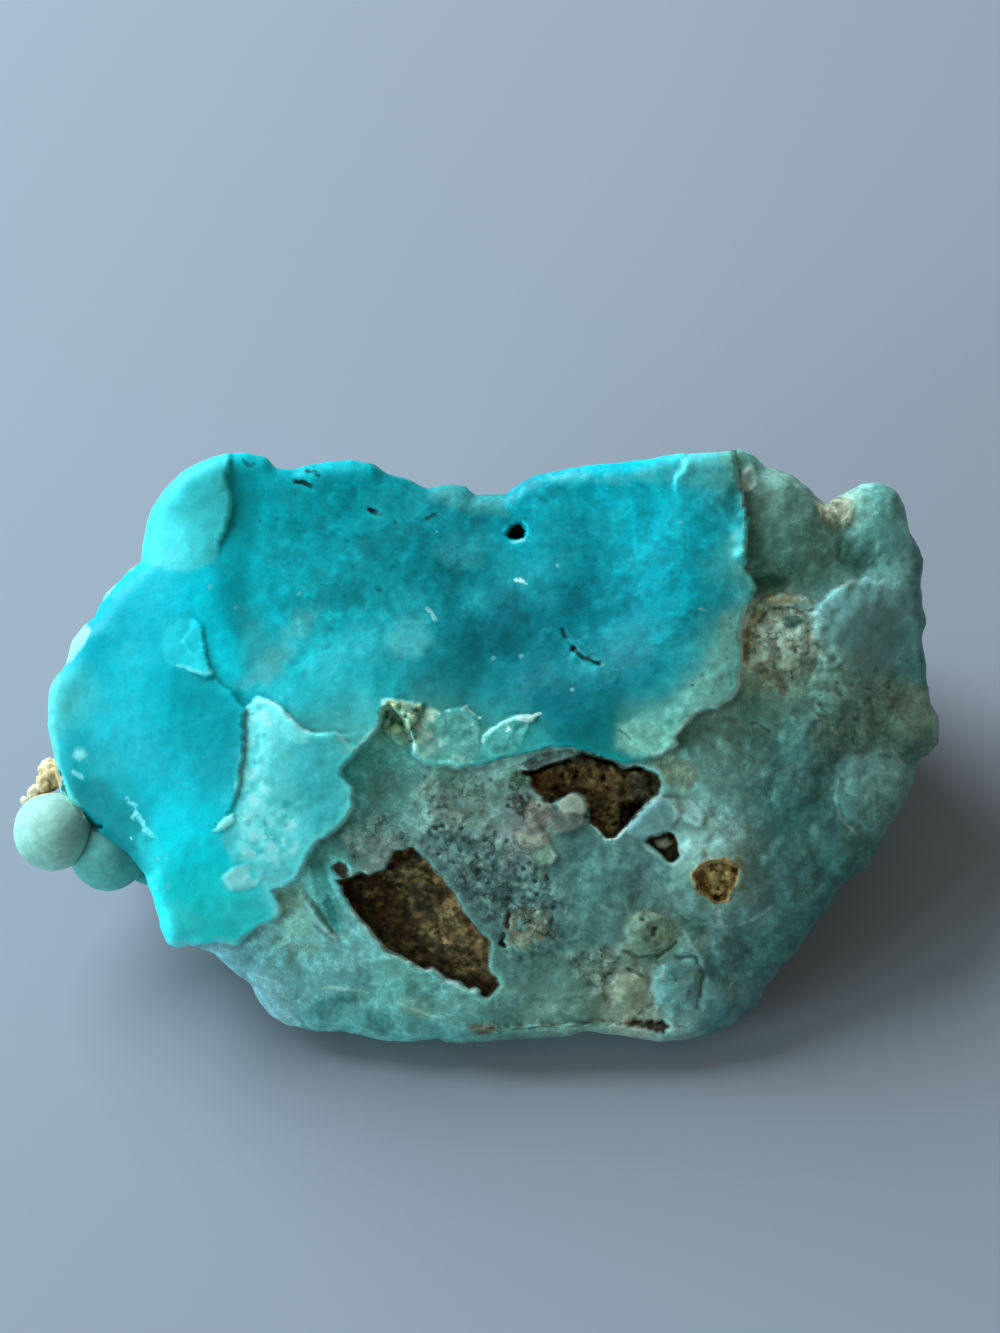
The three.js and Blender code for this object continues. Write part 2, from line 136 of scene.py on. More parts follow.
def waves(points: Array, cell: float, seed: int, layers: int = 3) -> Array:
    """Noise of several sizes, each half as large and half as strong as the one before.

    Args:
        points: n by 3 positions.
        cell: size of the largest wave.
        seed: which noise of a family this is.
        layers: how many sizes.

    Returns:
        One number a point.
    """
    total = np.zeros(len(points))
    for i in range(layers):
        total += lattice_noise(points, cell / 2**i, seed + i * 7) / 2**i
    return total / 1.5


def flat_points(u: Array, v: Array) -> Array:
    """Positions on the display plane as points for a noise."""
    return np.stack([u, v, np.zeros_like(u)], axis=1)


def crease_depth(points: Array, cell: float, radius: float, jitter: float = 0.8) -> Array:
    """Depth between domes that stand on a jittered grid: 0 at a dome's middle.

    Args:
        points: n by 3 positions.
        cell: spacing of the grid.
        radius: how round the domes are.
        jitter: share of a cell that a dome's seed may move.

    Returns:
        One depth a point, in millimetres.
    """
    base = np.floor(points / cell)
    nearest = np.full(len(points), np.inf)
    for offset in product((-1, 0, 1), repeat=3):
        index = base + np.array(offset)
        wave = index @ np.array([12.9898, 78.233, 37.719])
        gap = np.zeros(len(points))
        for axis in range(3):
            turn = np.sin(wave + axis * 9.1) * 437.585
            seat = index[:, axis] + 0.5 + jitter * (turn - np.floor(turn) - 0.5)
            gap += (points[:, axis] - seat * cell) ** 2
        nearest = np.minimum(nearest, gap)
    return nearest / (2.0 * radius)


def corners_of(path: Path) -> Array:
    """A path's places as n by 2 numbers."""
    return np.reshape(np.array(path, dtype=float), (-1, 2))


def gap_to_line(path: Path, u: Array, v: Array, closed: bool) -> Array:
    """Distance from places on the display plane to a line or an outline.

    Args:
        path: the line's corners.
        u: places across.
        v: places up.
        closed: whether the line is a closed outline, whose inside is negative.

    Returns:
        One distance a place.
    """
    corners = corners_of(path)
    best = np.full(u.shape, np.inf)
    inside = np.zeros(u.shape, dtype=bool)
    for i in range(0 if closed else 1, len(corners)):
        (ax, ay), (bx, by) = corners[i - 1], corners[i]
        dx, dy = bx - ax, by - ay
        t = np.clip(((u - ax) * dx + (v - ay) * dy) / max(dx * dx + dy * dy, 1e-12), 0.0, 1.0)
        best = np.minimum(best, (u - ax - t * dx) ** 2 + (v - ay - t * dy) ** 2)
        if closed and ay != by:
            inside ^= ((ay > v) != (by > v)) & (u < dx * (v - ay) / dy + ax)
    best = np.sqrt(best)
    return np.where(inside, -best, best)


def beside_line(line: Sequence[float], u: Array, v: Array) -> tuple[Array, Array]:
    """How far places lie to the left of a line, and the height that the line has there.

    Args:
        line: the line's corners: across, up and height in turn.
        u: places across.
        v: places up.

    Returns:
        Distances, negative on the right, and heights.
    """
    corners = np.reshape(np.array(line, dtype=float), (-1, 3))
    run = np.diff(corners[:, :2], axis=0)
    left = np.stack([-run[:, 1], run[:, 0]], axis=1) / np.linalg.norm(run, axis=1, keepdims=True)
    turned = np.vstack([left[:1], left[:-1] + left[1:], left[-1:]])
    best = np.full(u.shape, np.inf)
    side = np.zeros(u.shape)
    height = np.zeros(u.shape)
    for i, (dx, dy) in enumerate(run):
        ax, ay, ah = corners[i]
        t = np.clip(((u - ax) * dx + (v - ay) * dy) / (dx * dx + dy * dy), 0.0, 1.0)
        off_u, off_v = u - ax - t * dx, v - ay - t * dy
        gap = off_u**2 + off_v**2
        nx = np.where(t <= 0.0, turned[i, 0], np.where(t >= 1.0, turned[i + 1, 0], left[i, 0]))
        ny = np.where(t <= 0.0, turned[i, 1], np.where(t >= 1.0, turned[i + 1, 1], left[i, 1]))
        closer = gap < best
        best = np.where(closer, gap, best)
        side = np.where(closer, np.sign(off_u * nx + off_v * ny), side)
        height = np.where(closer, ah + t * (corners[i + 1, 2] - ah), height)
    return side * np.sqrt(best), height


# ---- Marks on the display side ----


class Form(Enum):
    """What the points of a mark are."""

    AREA = "closed outline"
    LINE = "open line"
    SPOTS = "centres of round spots"


@dataclass(frozen=True)
class Mark:
    """Something that shows on the display side, as relief, as colour, or as both.

    reach is the width of an area's soft edge, half a line's width, or a spot's radius. grain and
    grit are shares, or less than 0 for a mark that leaves them as they are.
    """

    form: Form
    path: Path
    reach: float
    tint: Colour | None = None
    cover: float = 1.0
    lift: float = 0.0
    ragged: float = 0.15
    broken: float = 0.0
    grain: float = -1.0
    grit: float = -1.0

    @property
    def crisp(self) -> bool:
        """Whether its colour has a sharp edge."""
        return self.tint is not None and self.form is not Form.AREA and self.reach < 0.3


class Sites:
    """Places on the display plane, with the noises that fray the marks' edges."""

    def __init__(self, u: Array, v: Array) -> None:
        """Works out the noises at some places.

        Args:
            u: places across, in millimetres.
            v: places up.
        """
        self.u, self.v = u, v
        flat = flat_points(u, v)
        self.fray_u = waves(flat, 1.3, 11)
        self.fray_v = waves(flat, 1.3, 31)
        self.crumble = waves(flat, 0.7, 51)

    def near(self, mark: Mark) -> tuple[Array, Array, Array]:
        """Finds where a mark may show.

        Args:
            mark: the mark.

        Returns:
            The numbers of the places near it, how far they are outside its edge (less than 0
            within it), and how whole it is there, from 0 to 1.
        """
        corners = corners_of(mark.path)
        margin = mark.reach + 2.0 * mark.ragged + 0.3
        low, high = corners.min(axis=0) - margin, corners.max(axis=0) + margin
        near = (self.u > low[0]) & (self.u < high[0]) & (self.v > low[1]) & (self.v < high[1])
        chosen = np.flatnonzero(near)
        u = self.u[chosen] + mark.ragged * self.fray_u[chosen]
        v = self.v[chosen] + mark.ragged * self.fray_v[chosen]
        if mark.form is Form.SPOTS:
            gap = np.min([np.hypot(u - x, v - y) for x, y in corners], axis=0) - mark.reach
        elif mark.form is Form.LINE:
            gap = gap_to_line(mark.path, u, v, False) - mark.reach
        else:
            gap = gap_to_line(mark.path, u, v, True)
        whole = np.ones(len(chosen))
        if mark.broken > 0.0:
            level = self.crumble[chosen] * 0.7 + 0.5
            whole = smooth(level + (1.0 - mark.broken) * 0.6, 0.35, 0.85)
        return chosen, gap, whole

    def mask(self, mark: Mark) -> Array:
        """How strongly a mark shows at each place, from 0 to 1.

        Args:
            mark: the mark.

        Returns:
            One number a place.
        """
        found = np.zeros(self.u.shape)
        chosen, gap, whole = self.near(mark)
        low, high = (-0.5, 0.5) if mark.form is Form.AREA else (0.0, 0.65)
        found[chosen] = smooth(-gap, low * mark.reach, high * mark.reach) * whole
        return found


class TopCoat:
    """The crisp marks as they reach each vertex: colour, distance outside the edge, and cover."""

    def __init__(self, count: int) -> None:
        """Starts with no mark on any vertex.

        Args:
            count: how many vertices there are.
        """
        self.tint = np.ones((count, 3))
        self.gap = np.full(count, 1.0)
        self.cover = np.zeros(count)

    def lay(self, mark: Mark, sites: Sites) -> None:
        """Lays a mark over the ones before it.

        Args:
            mark: the mark.
            sites: where the vertices lie.
        """
        chosen, gap, whole = sites.near(mark)
        if mark.form is not Form.AREA:
            gap = gap + 0.3 * mark.reach
        gap = gap + (1.0 - whole) * 0.5
        wins = (gap < 0.0) | (gap < self.gap[chosen])
        chosen, gap = chosen[wins], gap[wins]
        self.tint[chosen] = linear(mark.tint)
        self.gap[chosen] = gap
        self.cover[chosen] = mark.cover


# ---- The display plane and what is laid out on it ----


@dataclass(frozen=True)
class DisplayPlane:
    """The plane that the display side is laid out on, square to the eye's axis."""

    elevation: float = math.radians(55.0)
    distance: float = 200.0
    aim: Point = (1.2, 4.9)
    centre: Triple = (0.02, -1.49, 11.0)

    def axes(self) -> Array:
        """Unit vectors across, up and towards the eye, one a row."""
        s, c = math.sin(self.elevation), math.cos(self.elevation)
        return np.array([[1.0, 0.0, 0.0], [0.0, s, c], [0.0, -c, s]])

    def as_seen(self, points: Array) -> tuple[Array, Array, Array]:
        """Where points of the stone's frame show on the plane.

        Args:
            points: n by 3 positions.

        Returns:
            Their places across and up, and their rise from the plane.
        """
        offset = (points - np.array(self.centre)) @ self.axes().T
        grow = self.distance / (self.distance - offset[:, 2])
        u = self.aim[0] + (offset[:, 0] - self.aim[0]) * grow
        v = self.aim[1] + (offset[:, 1] - self.aim[1]) * grow
        return u, v, offset[:, 2]

    def placed(self, u: Array, v: Array, rise: Array) -> Array:
        """Points that show at a place and rise so far from the plane.

        Args:
            u: places across.
            v: places up.
            rise: their rise towards the eye.

        Returns:
            n by 3 positions.
        """
        shrink = (self.distance - rise) / self.distance
        across = self.aim[0] + (u - self.aim[0]) * shrink
        up = self.aim[1] + (v - self.aim[1]) * shrink
        return np.array(self.centre) + np.stack([across, up, rise], axis=1) @ self.axes()

    def spot(self, place: Triple) -> Array:
        """One point from its place across, place up and rise, as 1 by 3 numbers."""
        return self.placed(*(np.array([number]) for number in place))

    def eye(self) -> Array:
        """The eye's position."""
        return self.spot((*self.aim, self.distance))[0]


PLANE = DisplayPlane()

# The outline of the body, clockwise from its top left corner.
OUTLINE: Path = [
    -14.7, 17.5, -13.8, 17.5, -12.6, 17.2, -11.9, 16.6, -11, 16.5, -9.9, 16.8, -8.8, 17, -7.2, 17,
    -6.2, 16.8, -5.6, 16.3, -4.1, 15.9, -3.1, 15.3, -2.6, 15.5, -1.6, 15.6, -0.8, 15.5, -0.3, 15, 1.5, 15,
    2.4, 15.7, 3.2, 16.1, 4.5, 16.4, 6.3, 16.7, 9.8, 17.1, 11.5, 17.4, 14.3, 17.5, 15.3, 17.7, 16, 17.4,
    16.9, 16.6, 17.5, 16.5, 18.3, 16.2, 19.1, 15.6, 19.8, 15, 20.4, 14.5, 21.1, 14.9, 21.8, 15.4,
    22.4, 15.9, 23.1, 16.1, 23.9, 16, 24.6, 15.7, 25.1, 15.2, 25.3, 14.2, 25.4, 12.9, 26, 12, 26.2, 11.2,
    26, 9.8, 26.1, 8.4, 26.3, 7.5, 26, 6.5, 26.2, 5.6, 26.3, 4, 26.5, 2.7, 27, 2, 27.1, 1.2, 27, 0.4,
    26.5, -0.2, 25.8, -0.6, 25.5, -2, 25, -3.1, 23.9, -4.7, 23.4, -6, 22.7, -7, 21.3, -7.8, 20.8, -8.8,
    20, -10, 19, -11.3, 18.6, -12.1, 17.7, -12.8, 16.9, -14, 16.2, -15.2, 15.2, -16.1, 13.5, -16.9,
    12, -17.3, 10.5, -17.4, 9, -17.1, 7.5, -16.8, 6.3, -16.6, 5, -17, 2, -17.2, 0.5, -17.35, -1, -17.5,
    -2.1, -17.4, -2.4, -17.1, -4.2, -17.3, -5.3, -17.3, -7, -16.9, -8, -16.6, -9.5, -16.6, -11.3, -16.2,
    -12.2, -15.7, -13, -14.8, -13.5, -13.8, -14.5, -13, -15.6, -12, -17, -11.5, -18, -11.6, -18.3, -11.4,
    -18.7, -10.6, -19.1, -9, -19.7, -7.3, -20.6, -6.2, -22.6, -4.6, -23.6, -3.9, -24.3, -3.4, -24.7, -2.5,
    -24.9, -1.5, -25.1, 0.2, -25.4, 1.5, -25.4, 3, -25.2, 3.9, -24.3, 5.1, -23.9, 6.5, -23.4, 7.2,
    -22.7, 7.7, -22, 9.2, -20.5, 10.6, -19.9, 11.1, -19.8, 12.3, -19.6, 13.3, -19.2, 14.3, -18.5, 15.3,
    -17.7, 16.2, -16.8, 16.8, -15.7, 17.2
]

# Heights of the display side, as spots [across, up, rise], blended into one slow surface.
HEIGHTS: list[Triple] = [
    (-23, 12, 0.5), (-17, 15, 2.6), (-21, 8, 3.2), (-17.5, 9, 5.2), (-24, 3, 1.8), (-20, 3, 5.2),
    (-16.5, 3, 5.4), (-23.5, -2, 1.2), (-19.5, -3, 4.4), (-16, -5, 5.4), (-17, -10.5, 4.2),
    (-13, -9, 4.6), (-12, -1, 6), (-9, -4, 5.6), (-12, 14, 1.6), (-6, 15, 1), (-12, 9, 3.4),
    (-6, 9, 3), (0, 12, 1.8), (1, 6, 3.6), (-5, 4, 5), (-2, 0, 5.6), (4, 1, 5.4), (6, 14, 2.8),
    (7, 9, 3.4), (13, 15, 2.8), (13, 9, 4.8), (12, 3, 5.8), (9, 1, 5.4), (17, 15, 0.2),
    (18, 11, 1.2), (23.5, 13, -1.6), (17.8, 6.5, 3), (22.5, 7, 1.2), (26, 6, -2.5), (20, 2, 2.8),
    (26, 1.5, -2), (16, 0, 4.4), (23.3, -2.5, 1.6), (18.5, -4, 3.4), (14, -7.5, 4.6),
    (19.5, -8.5, 1.6), (16.5, -12.5, 1.2), (12, -12, 3), (13, -16, 0.9), (8, -8, 4.6),
    (8, -13.5, 3), (7, -16.3, 1.3), (3, -4, 4.8), (2, -10, 4.2), (1, -15.5, 1.9), (-4, -8, 4.6),
    (-4, -3, 4.6), (-7, -7, 4.8), (-7.5, -12, 3.4), (-6, -16, 1.4), (-11.5, -13, 1.6),
    (-14, -13, 1), (-11, -16, 0.9),
]

# The shell's broken rim: the display side stands proud inside this line.
SHELL: Path = [
    -26, 19, 15, 19, 15, 17.3, 15.15, 16, 15.5, 15, 15.6, 14.3, 15.7, 13, 15.75, 12.2, 15.6, 10.7, 16, 10.3,
    16.35, 9.6, 16, 8.9, 15.6, 8.4, 15.4, 6.6, 15.5, 5, 15.3, 4.3, 15.5, 3.9, 15, 3, 14, 2.5, 12.8, 2.2,
    12.1, 1.5, 11.6, 0.8, 11.7, 0.3, 10.8, -0.2, 9.5, -0.9, 8.5, -0.9, 7.5, -0.6, 6.5, -0.2, 4.5, 0.15,
    3.5, 0.1, 1.8, -0.5, 0, -0.9, -1.3, -1, -3, -0.9, -4, -0.2, -4, 0.8, -4.4, 1.6, -5.2, 2.6, -5.6, 2.5,
    -5.9, 1.3, -6.5, 0.7, -7.2, -0.2, -8, -1, -8.15, -1.4, -7.5, -2.2, -7.3, -3.3, -8, -4.4, -9.5, -5.3,
    -10.1, -6.3, -10.7, -7.6, -11.4, -8, -12.2, -8.3, -11.7, -9, -11.8, -9.8, -13, -10.4, -13.5, -10.7,
    -14.1, -11.45, -15.5, -11.3, -17.5, -11.6, -28, -11.7
]

LARGE_POCKET: Path = [
    -7, -7.3, -6.5, -7.4, -6.2, -7.1, -5.5, -7, -5, -6, -4.4, -5.9, -3.9, -5.8, -3.4, -6.1, -2.6, -7.2,
    -1.7, -8.1, -1.2, -8.9, -0.9, -9.6, 0.1, -10.6, 0.5, -11.2, 0.6, -12, 0.5, -12.7, 1.1, -13.8,
    0.9, -14.4, 0.5, -14.6, -0.2, -14, -0.6, -14.1, -2, -13.4, -2.8, -12.75, -3.2, -12.9, -4.8, -12.1,
    -5.4, -11.8, -6.5, -10.6, -7.4, -9.5, -7.9, -8.4, -8.3, -7.7
]
UPPER_POCKET: Path = [
    2.6, -1.35, 3.3, -1.1, 4.2, -0.9, 5, -0.6, 6, -0.3, 7, -0.5, 7.9, -0.8, 8.3, -1.1, 9.6, -1.1,
    10.7, -1.4, 10.8, -1.9, 10.7, -2.6, 9.9, -3, 9, -4, 8.5, -4.7, 8, -5.1, 7.5, -5.2, 7, -4.6, 6.5, -4.2,
    6.4, -3.5, 6.2, -2.8, 5.6, -2.5, 4.6, -2.9, 4.2, -3.1, 3.6, -2.7, 3.1, -2.1, 3, -1.6
]
SMALL_CAVITY: Path = [
    9.7, -5.45, 10, -5.15, 10.6, -5.05, 11, -4.85, 11.4, -5.05, 11.6, -5.5, 11.75, -6.2, 11.4, -6.6,
    11, -6.6, 10.6, -6.2, 10.1, -5.6
]
TAN_POCKET: Path = [
    12.5, -7.4, 13, -6.9, 13.6, -6.5, 14.3, -6.6, 15.2, -7, 15, -7.7, 14.5, -8.8, 13.9, -9, 12.9, -8.2
]


@dataclass(frozen=True)
class Pocket:
    """A hollow of the display side: its rim, its depth, and how the depth changes across and up."""

    rim: Path
    depth: float
    fall: Point = (0.0, 0.0)


POCKETS = (
    Pocket(LARGE_POCKET, 1.9, (-0.22, -0.1)),
    Pocket(UPPER_POCKET, 1.5, (0.15, -0.1)),
    Pocket(SMALL_CAVITY, 1.1),
    Pocket(TAN_POCKET, 0.55),
)


@dataclass(frozen=True)
class Ledge:
    """A low broken edge. The surface stands proud on the left of its line, and the lift fades away
    from it. The line is each corner's place across, place up and height in turn."""

    line: Sequence[float]
    fade: float = 2.0


LEDGES: list[Ledge] = [
    # the upper left lobe
    Ledge([-15.55, 11.1, 0, -15.3, 12.3, 0.25, -14.75, 13.4, 0.4, -14.65, 14.4, 0.45, -14.9, 15.8, 0.45,
           -14.75, 17.4, 0.4, -14.7, 19, 0.4], 3.5),
    # the flake below it
    Ledge([-17.9, 5.1, 0, -16.8, 4.5, 0.2, -16.1, 4.3, 0.25, -15.6, 4.4, 0.25, -16, 5, 0.25,
           -16.05, 5.8, 0.25, -16.4, 7.3, 0.2, -16.8, 7.7, 0.1, -17.2, 7.7, 0], 2),
    # the left face over the frosted patch
    Ledge([-15.6, -4.6, 0, -14.6, -3.6, 0.15, -14.3, -2.3, 0.3, -14, -0.6, 0.35, -14, 1, 0.35,
           -13.9, 2.3, 0.35, -14.1, 2.8, 0.3, -15, 3.7, 0.2, -15.6, 4.4, 0.1], 3),
    # the frosted patch over the hollow above it
    Ledge([-7, 0.9, 0, -8.3, 0.9, 0.2, -9.9, 1, 0.4, -10.5, 1.2, 0.4, -11.3, 2.1, 0.5, -12.3, 2.9, 0.5,
           -12.9, 3.1, 0.5, -13.5, 2.8, 0.4, -14, 2.4, 0]),
    # the white foot of the patch
    Ledge([-13.5, -6.6, 0, -14.6, -6.8, 0.1, -15.1, -7.5, 0.2, -14.6, -8.2, 0.2, -12.9, -8.1, 0.2,
           -12.6, -7.2, 0], 1.6),
    # the thin layer under the tongue
    Ledge([-7.9, -11.6, 0, -8.7, -10.8, 0.3, -9.6, -9.6, 0.5, -10.3, -8.7, 0.4, -10.7, -7.6, 0], 1.5),
    # pale crystals along the shell's lower rim
    Ledge([0, 0.9, 0, 0, 1.5, 0.2, -0.3, 2.1, 0.3, -0.8, 2.45, 0.3, -1.8, 2.3, 0.15, -2.4, 2.1, 0], 1.2),
    Ledge([2.6, 0.8, 0, 3, 1.6, 0.1, 3.6, 2.15, 0.25, 2.2, 1.9, 0.3, 1.3, 1.5, 0.25, 0.6, 1.2, 0.25,
           0.2, 0.8, 0.15, 0.1, 0, 0], 1.2),
    # the fold at the top right
    Ledge([12.3, 17.2, 0.3, 11.6, 16.4, 0.4, 11.4, 15.6, 0.3, 11.7, 14.6, 0], 1.5),
    # the crust over the blue-green lump at the right
    Ledge([24, 10, 0, 22.6, 10.15, 0.5, 21.5, 9.8, 0.7, 20.3, 9, 0.5, 19.8, 7.8, 0], 3),
    # the rim of the ring of crust
    Ledge([20.2, 8, 0.3, 19.2, 8.9, 0.5, 17.6, 9.2, 0.6, 16.4, 8.6, 0.6, 15.8, 7.5, 0.4, 15.8, 6, 0.2],
           1.0),
    # the under-ledge at the foot of the display side
    Ledge([12.8, -16.5, 0, 11, -16.2, 0.4, 8.5, -16.1, 0.6, 6, -16.05, 0.5, 4, -16.3, 0.5, 0, -16.3, 0.4,
           -1.5, -16.4, 0], 1.2),
]

# Botryoidal lumps on the display side, [across, up, radius, height over the surface].
LUMPS: list[tuple[float, float, float, float]] = [
    (18.2, 13.1, 3.4, 1.2), (23.5, 13.1, 2.7, 1.3), (24.4, 9.9, 2.2, 0.5), (22.6, 7, 3.2, 1.1),
    (17.8, 6, 2.3, 0.6), (21.3, 3.6, 2, 0.5), (25.7, 1.6, 1.8, 0.8), (23.2, -2.3, 2.5, 0.8),
    (18.5, -2.4, 1.6, 0.3), (14.5, -1.2, 2.9, 0.7), (14, -7.6, 2.9, 0.9), (18.2, -7.2, 2, 0.4),
    (9.7, -10.8, 1.5, 0.55), (8.9, -14, 1.3, 0.5), (11.5, -14, 1.6, 0.6), (14.3, -11.6, 1.3, 0.35),
    (14.1, -14.6, 1.2, 0.35), (5.9, -14.6, 2, 0.35), (2.8, -10.5, 1.5, 0.25), (21.2, -5.6, 1.7, 0.4),
    (19.2, 0.3, 1.7, 0.4), (7.9, -7.6, 1.8, 0.3), (-2.6, -3.6, 2, 0.3), (-8.7, -13, 2.2, 0.4),
    (-4.6, -15, 1.7, 0.3), (8.2, -12.4, 1.1, 0.3), (12.6, -12, 1.2, 0.35), (-11.9, -13.2, 1.8, 0.4),
]

# Flat crystal faces, as outlines with their lift over the surface and how it changes across and up.
FACETS: list[tuple[Path, float, Point]] = [
    ([1.7, -3.3, 1.9, -2.6, 2.7, -2.5, 3.1, -3, 2.8, -3.6, 2.2, -3.8], 0.06, (0.1, -0.1)),
    ([3, -3.1, 3.9, -3, 4.4, -3.2, 4.4, -4, 3.9, -4.8, 3.2, -4.6, 2.8, -3.8], 0.08, (-0.1, 0.1)),
    ([4.5, -3.1, 5.5, -2.5, 6.2, -2.9, 6.5, -3.3, 6, -3.7, 5, -3.7], 0.2, (0.05, 0.12)),
    ([4.5, -3.2, 5, -3.7, 6, -3.7, 6.4, -3.5, 6.3, -4.3, 5.4, -4.8, 4.4, -5, 4, -4.6], 0.14, (0.03, -0.16)),
    ([2.1, -4.8, 3, -5, 3.9, -4.9, 4.1, -5.5, 3.3, -5.9, 2.5, -5.7], 0.12, (0.04, 0.1)),
    ([3.2, -6, 4.2, -5.5, 4.6, -6.2, 4.3, -6.7, 3.6, -6.8], 0.12, (0.15, -0.1)),
    ([8.7, -4.8, 9.1, -4.1, 9.8, -3.3, 10.8, -2.8, 11.5, -2.9, 11.8, -3.8, 11.2, -4.7, 9.9, -5, 9.2, -5.3],
      0.25, (0.02, 0.2)),
    ([11.5, -3, 12.3, -2.8, 13.3, -3.9, 13, -4.5, 12.2, -4.2, 11.8, -3.8], 0.15, (0.1, -0.1)),
    ([15.2, 15.5, 15.4, 16.4, 16, 16.8, 16.4, 16.2, 16.3, 15.6, 15.8, 15.1], 0.25, (-0.2, 0.1)),
    ([19.9, 14.4, 20.9, 14.8, 21.7, 14.6, 21.9, 13.8, 21.4, 13.1, 20.7, 13.5, 20.1, 13.8], 0.25,
      (0.1, -0.1)),
    ([-15.6, -4.8, -15, -4, -14.5, -3.8, -14.4, -4.2, -15, -4.7], 0.15, (0, 0)),
]

WHITE = 0x9CF4F6
DARK = 0x0E1E1B


def line(path: Path, reach: float, tint: Colour, cover: float = 0.8, broken: float = 0.0,
         ragged: float = 0.1, lift: float = 0.0) -> Mark:
    """A thin line of colour, a little raised or sunk."""
    return Mark(Form.LINE, path, reach, tint, cover, lift, ragged, broken)


def spots(path: Path, reach: float, tint: Colour, cover: float = 0.75, broken: float = 0.2,
          lift: float = 0.0) -> Mark:
    """Round spots of one size and colour, with frayed edges."""
    return Mark(Form.SPOTS, path, reach, tint, cover, lift, reach * 0.8, broken)


def area(path: Path, tint: Colour | None, cover: float = 0.8, soft: float = 0.4, broken: float = 0.0,
         grain: float = -1.0, grit: float = -1.0, lift: float = 0.0) -> Mark:
    """An area of colour or of texture, with a soft frayed edge."""
    return Mark(Form.AREA, path, soft, tint, cover, lift, min(0.35, soft), broken, grain, grit)


def strewn(outline: Path, density: float, reach: float, tint: Colour, seed: int, cover: float = 0.8,
           lift: float = 0.0) -> Mark:
    """Small spots strewn over an area.

    Args:
        outline: the area.
        density: spots a square millimetre.
        reach: the spots' radius.
        tint: their colour.
        seed: which draw of places.
        cover: how strongly they show.
        lift: how far they stand proud.

    Returns:
        The mark.
    """
    edge = corners_of(outline)
    low, high = edge.min(axis=0), edge.max(axis=0)
    draws = int(density * np.prod(high - low))
    places = np.random.default_rng(seed).uniform(low, high, (draws, 2))
    places = places[gap_to_line(outline, places[:, 0], places[:, 1], True) < -reach]
    return Mark(Form.SPOTS, places.ravel(), reach, tint, cover, lift, reach * 0.9, 0.2)


FROST: Path = [
    -14, 2.3, -13, 3.1, -12.2, 2.7, -12.2, 1, -12.7, -1.5, -12, -3.2, -10.9, -4.6, -10.8, -6.2, -11.6, -7.8,
    -12.8, -7.2, -13.9, -6.4, -14.4, -5.4, -14.2, -3.8, -14.3, -2.4, -13.9, 0
]
GRANULAR: Path = [
    -6, -3.8, -3.5, -4.6, 0, -3.6, 2, -5, 4, -6.6, 5.5, -9.6, 4.4, -11.6, 1.6, -9.4, -0.6, -8.4, -2.6, -6.4,
    -4, -5.2
]
PALE_GROUND: Path = [-3.6, -1.4, 2, -1.4, 1.8, -4, -1, -4.4, -3.6, -3.8]
RIGHT_CRUST: Path = [19.4, 0.2, 19.6, 5.5, 22, 6.4, 24.4, 5, 25.5, 2, 24, 0.6, 21.5, -0.6]
LOWER_BAND: Path = [5, -12, 8, -11.4, 10.5, -12, 13, -12, 14.6, -14, 12, -16, 8, -16, 5.8, -13.4]
CRUST_RING: Path = [15.8, 8, 17, 8.8, 18.6, 8.8, 19.8, 8, 20.2, 6, 19.4, 4.4, 17.4, 3.6, 16, 4.6]


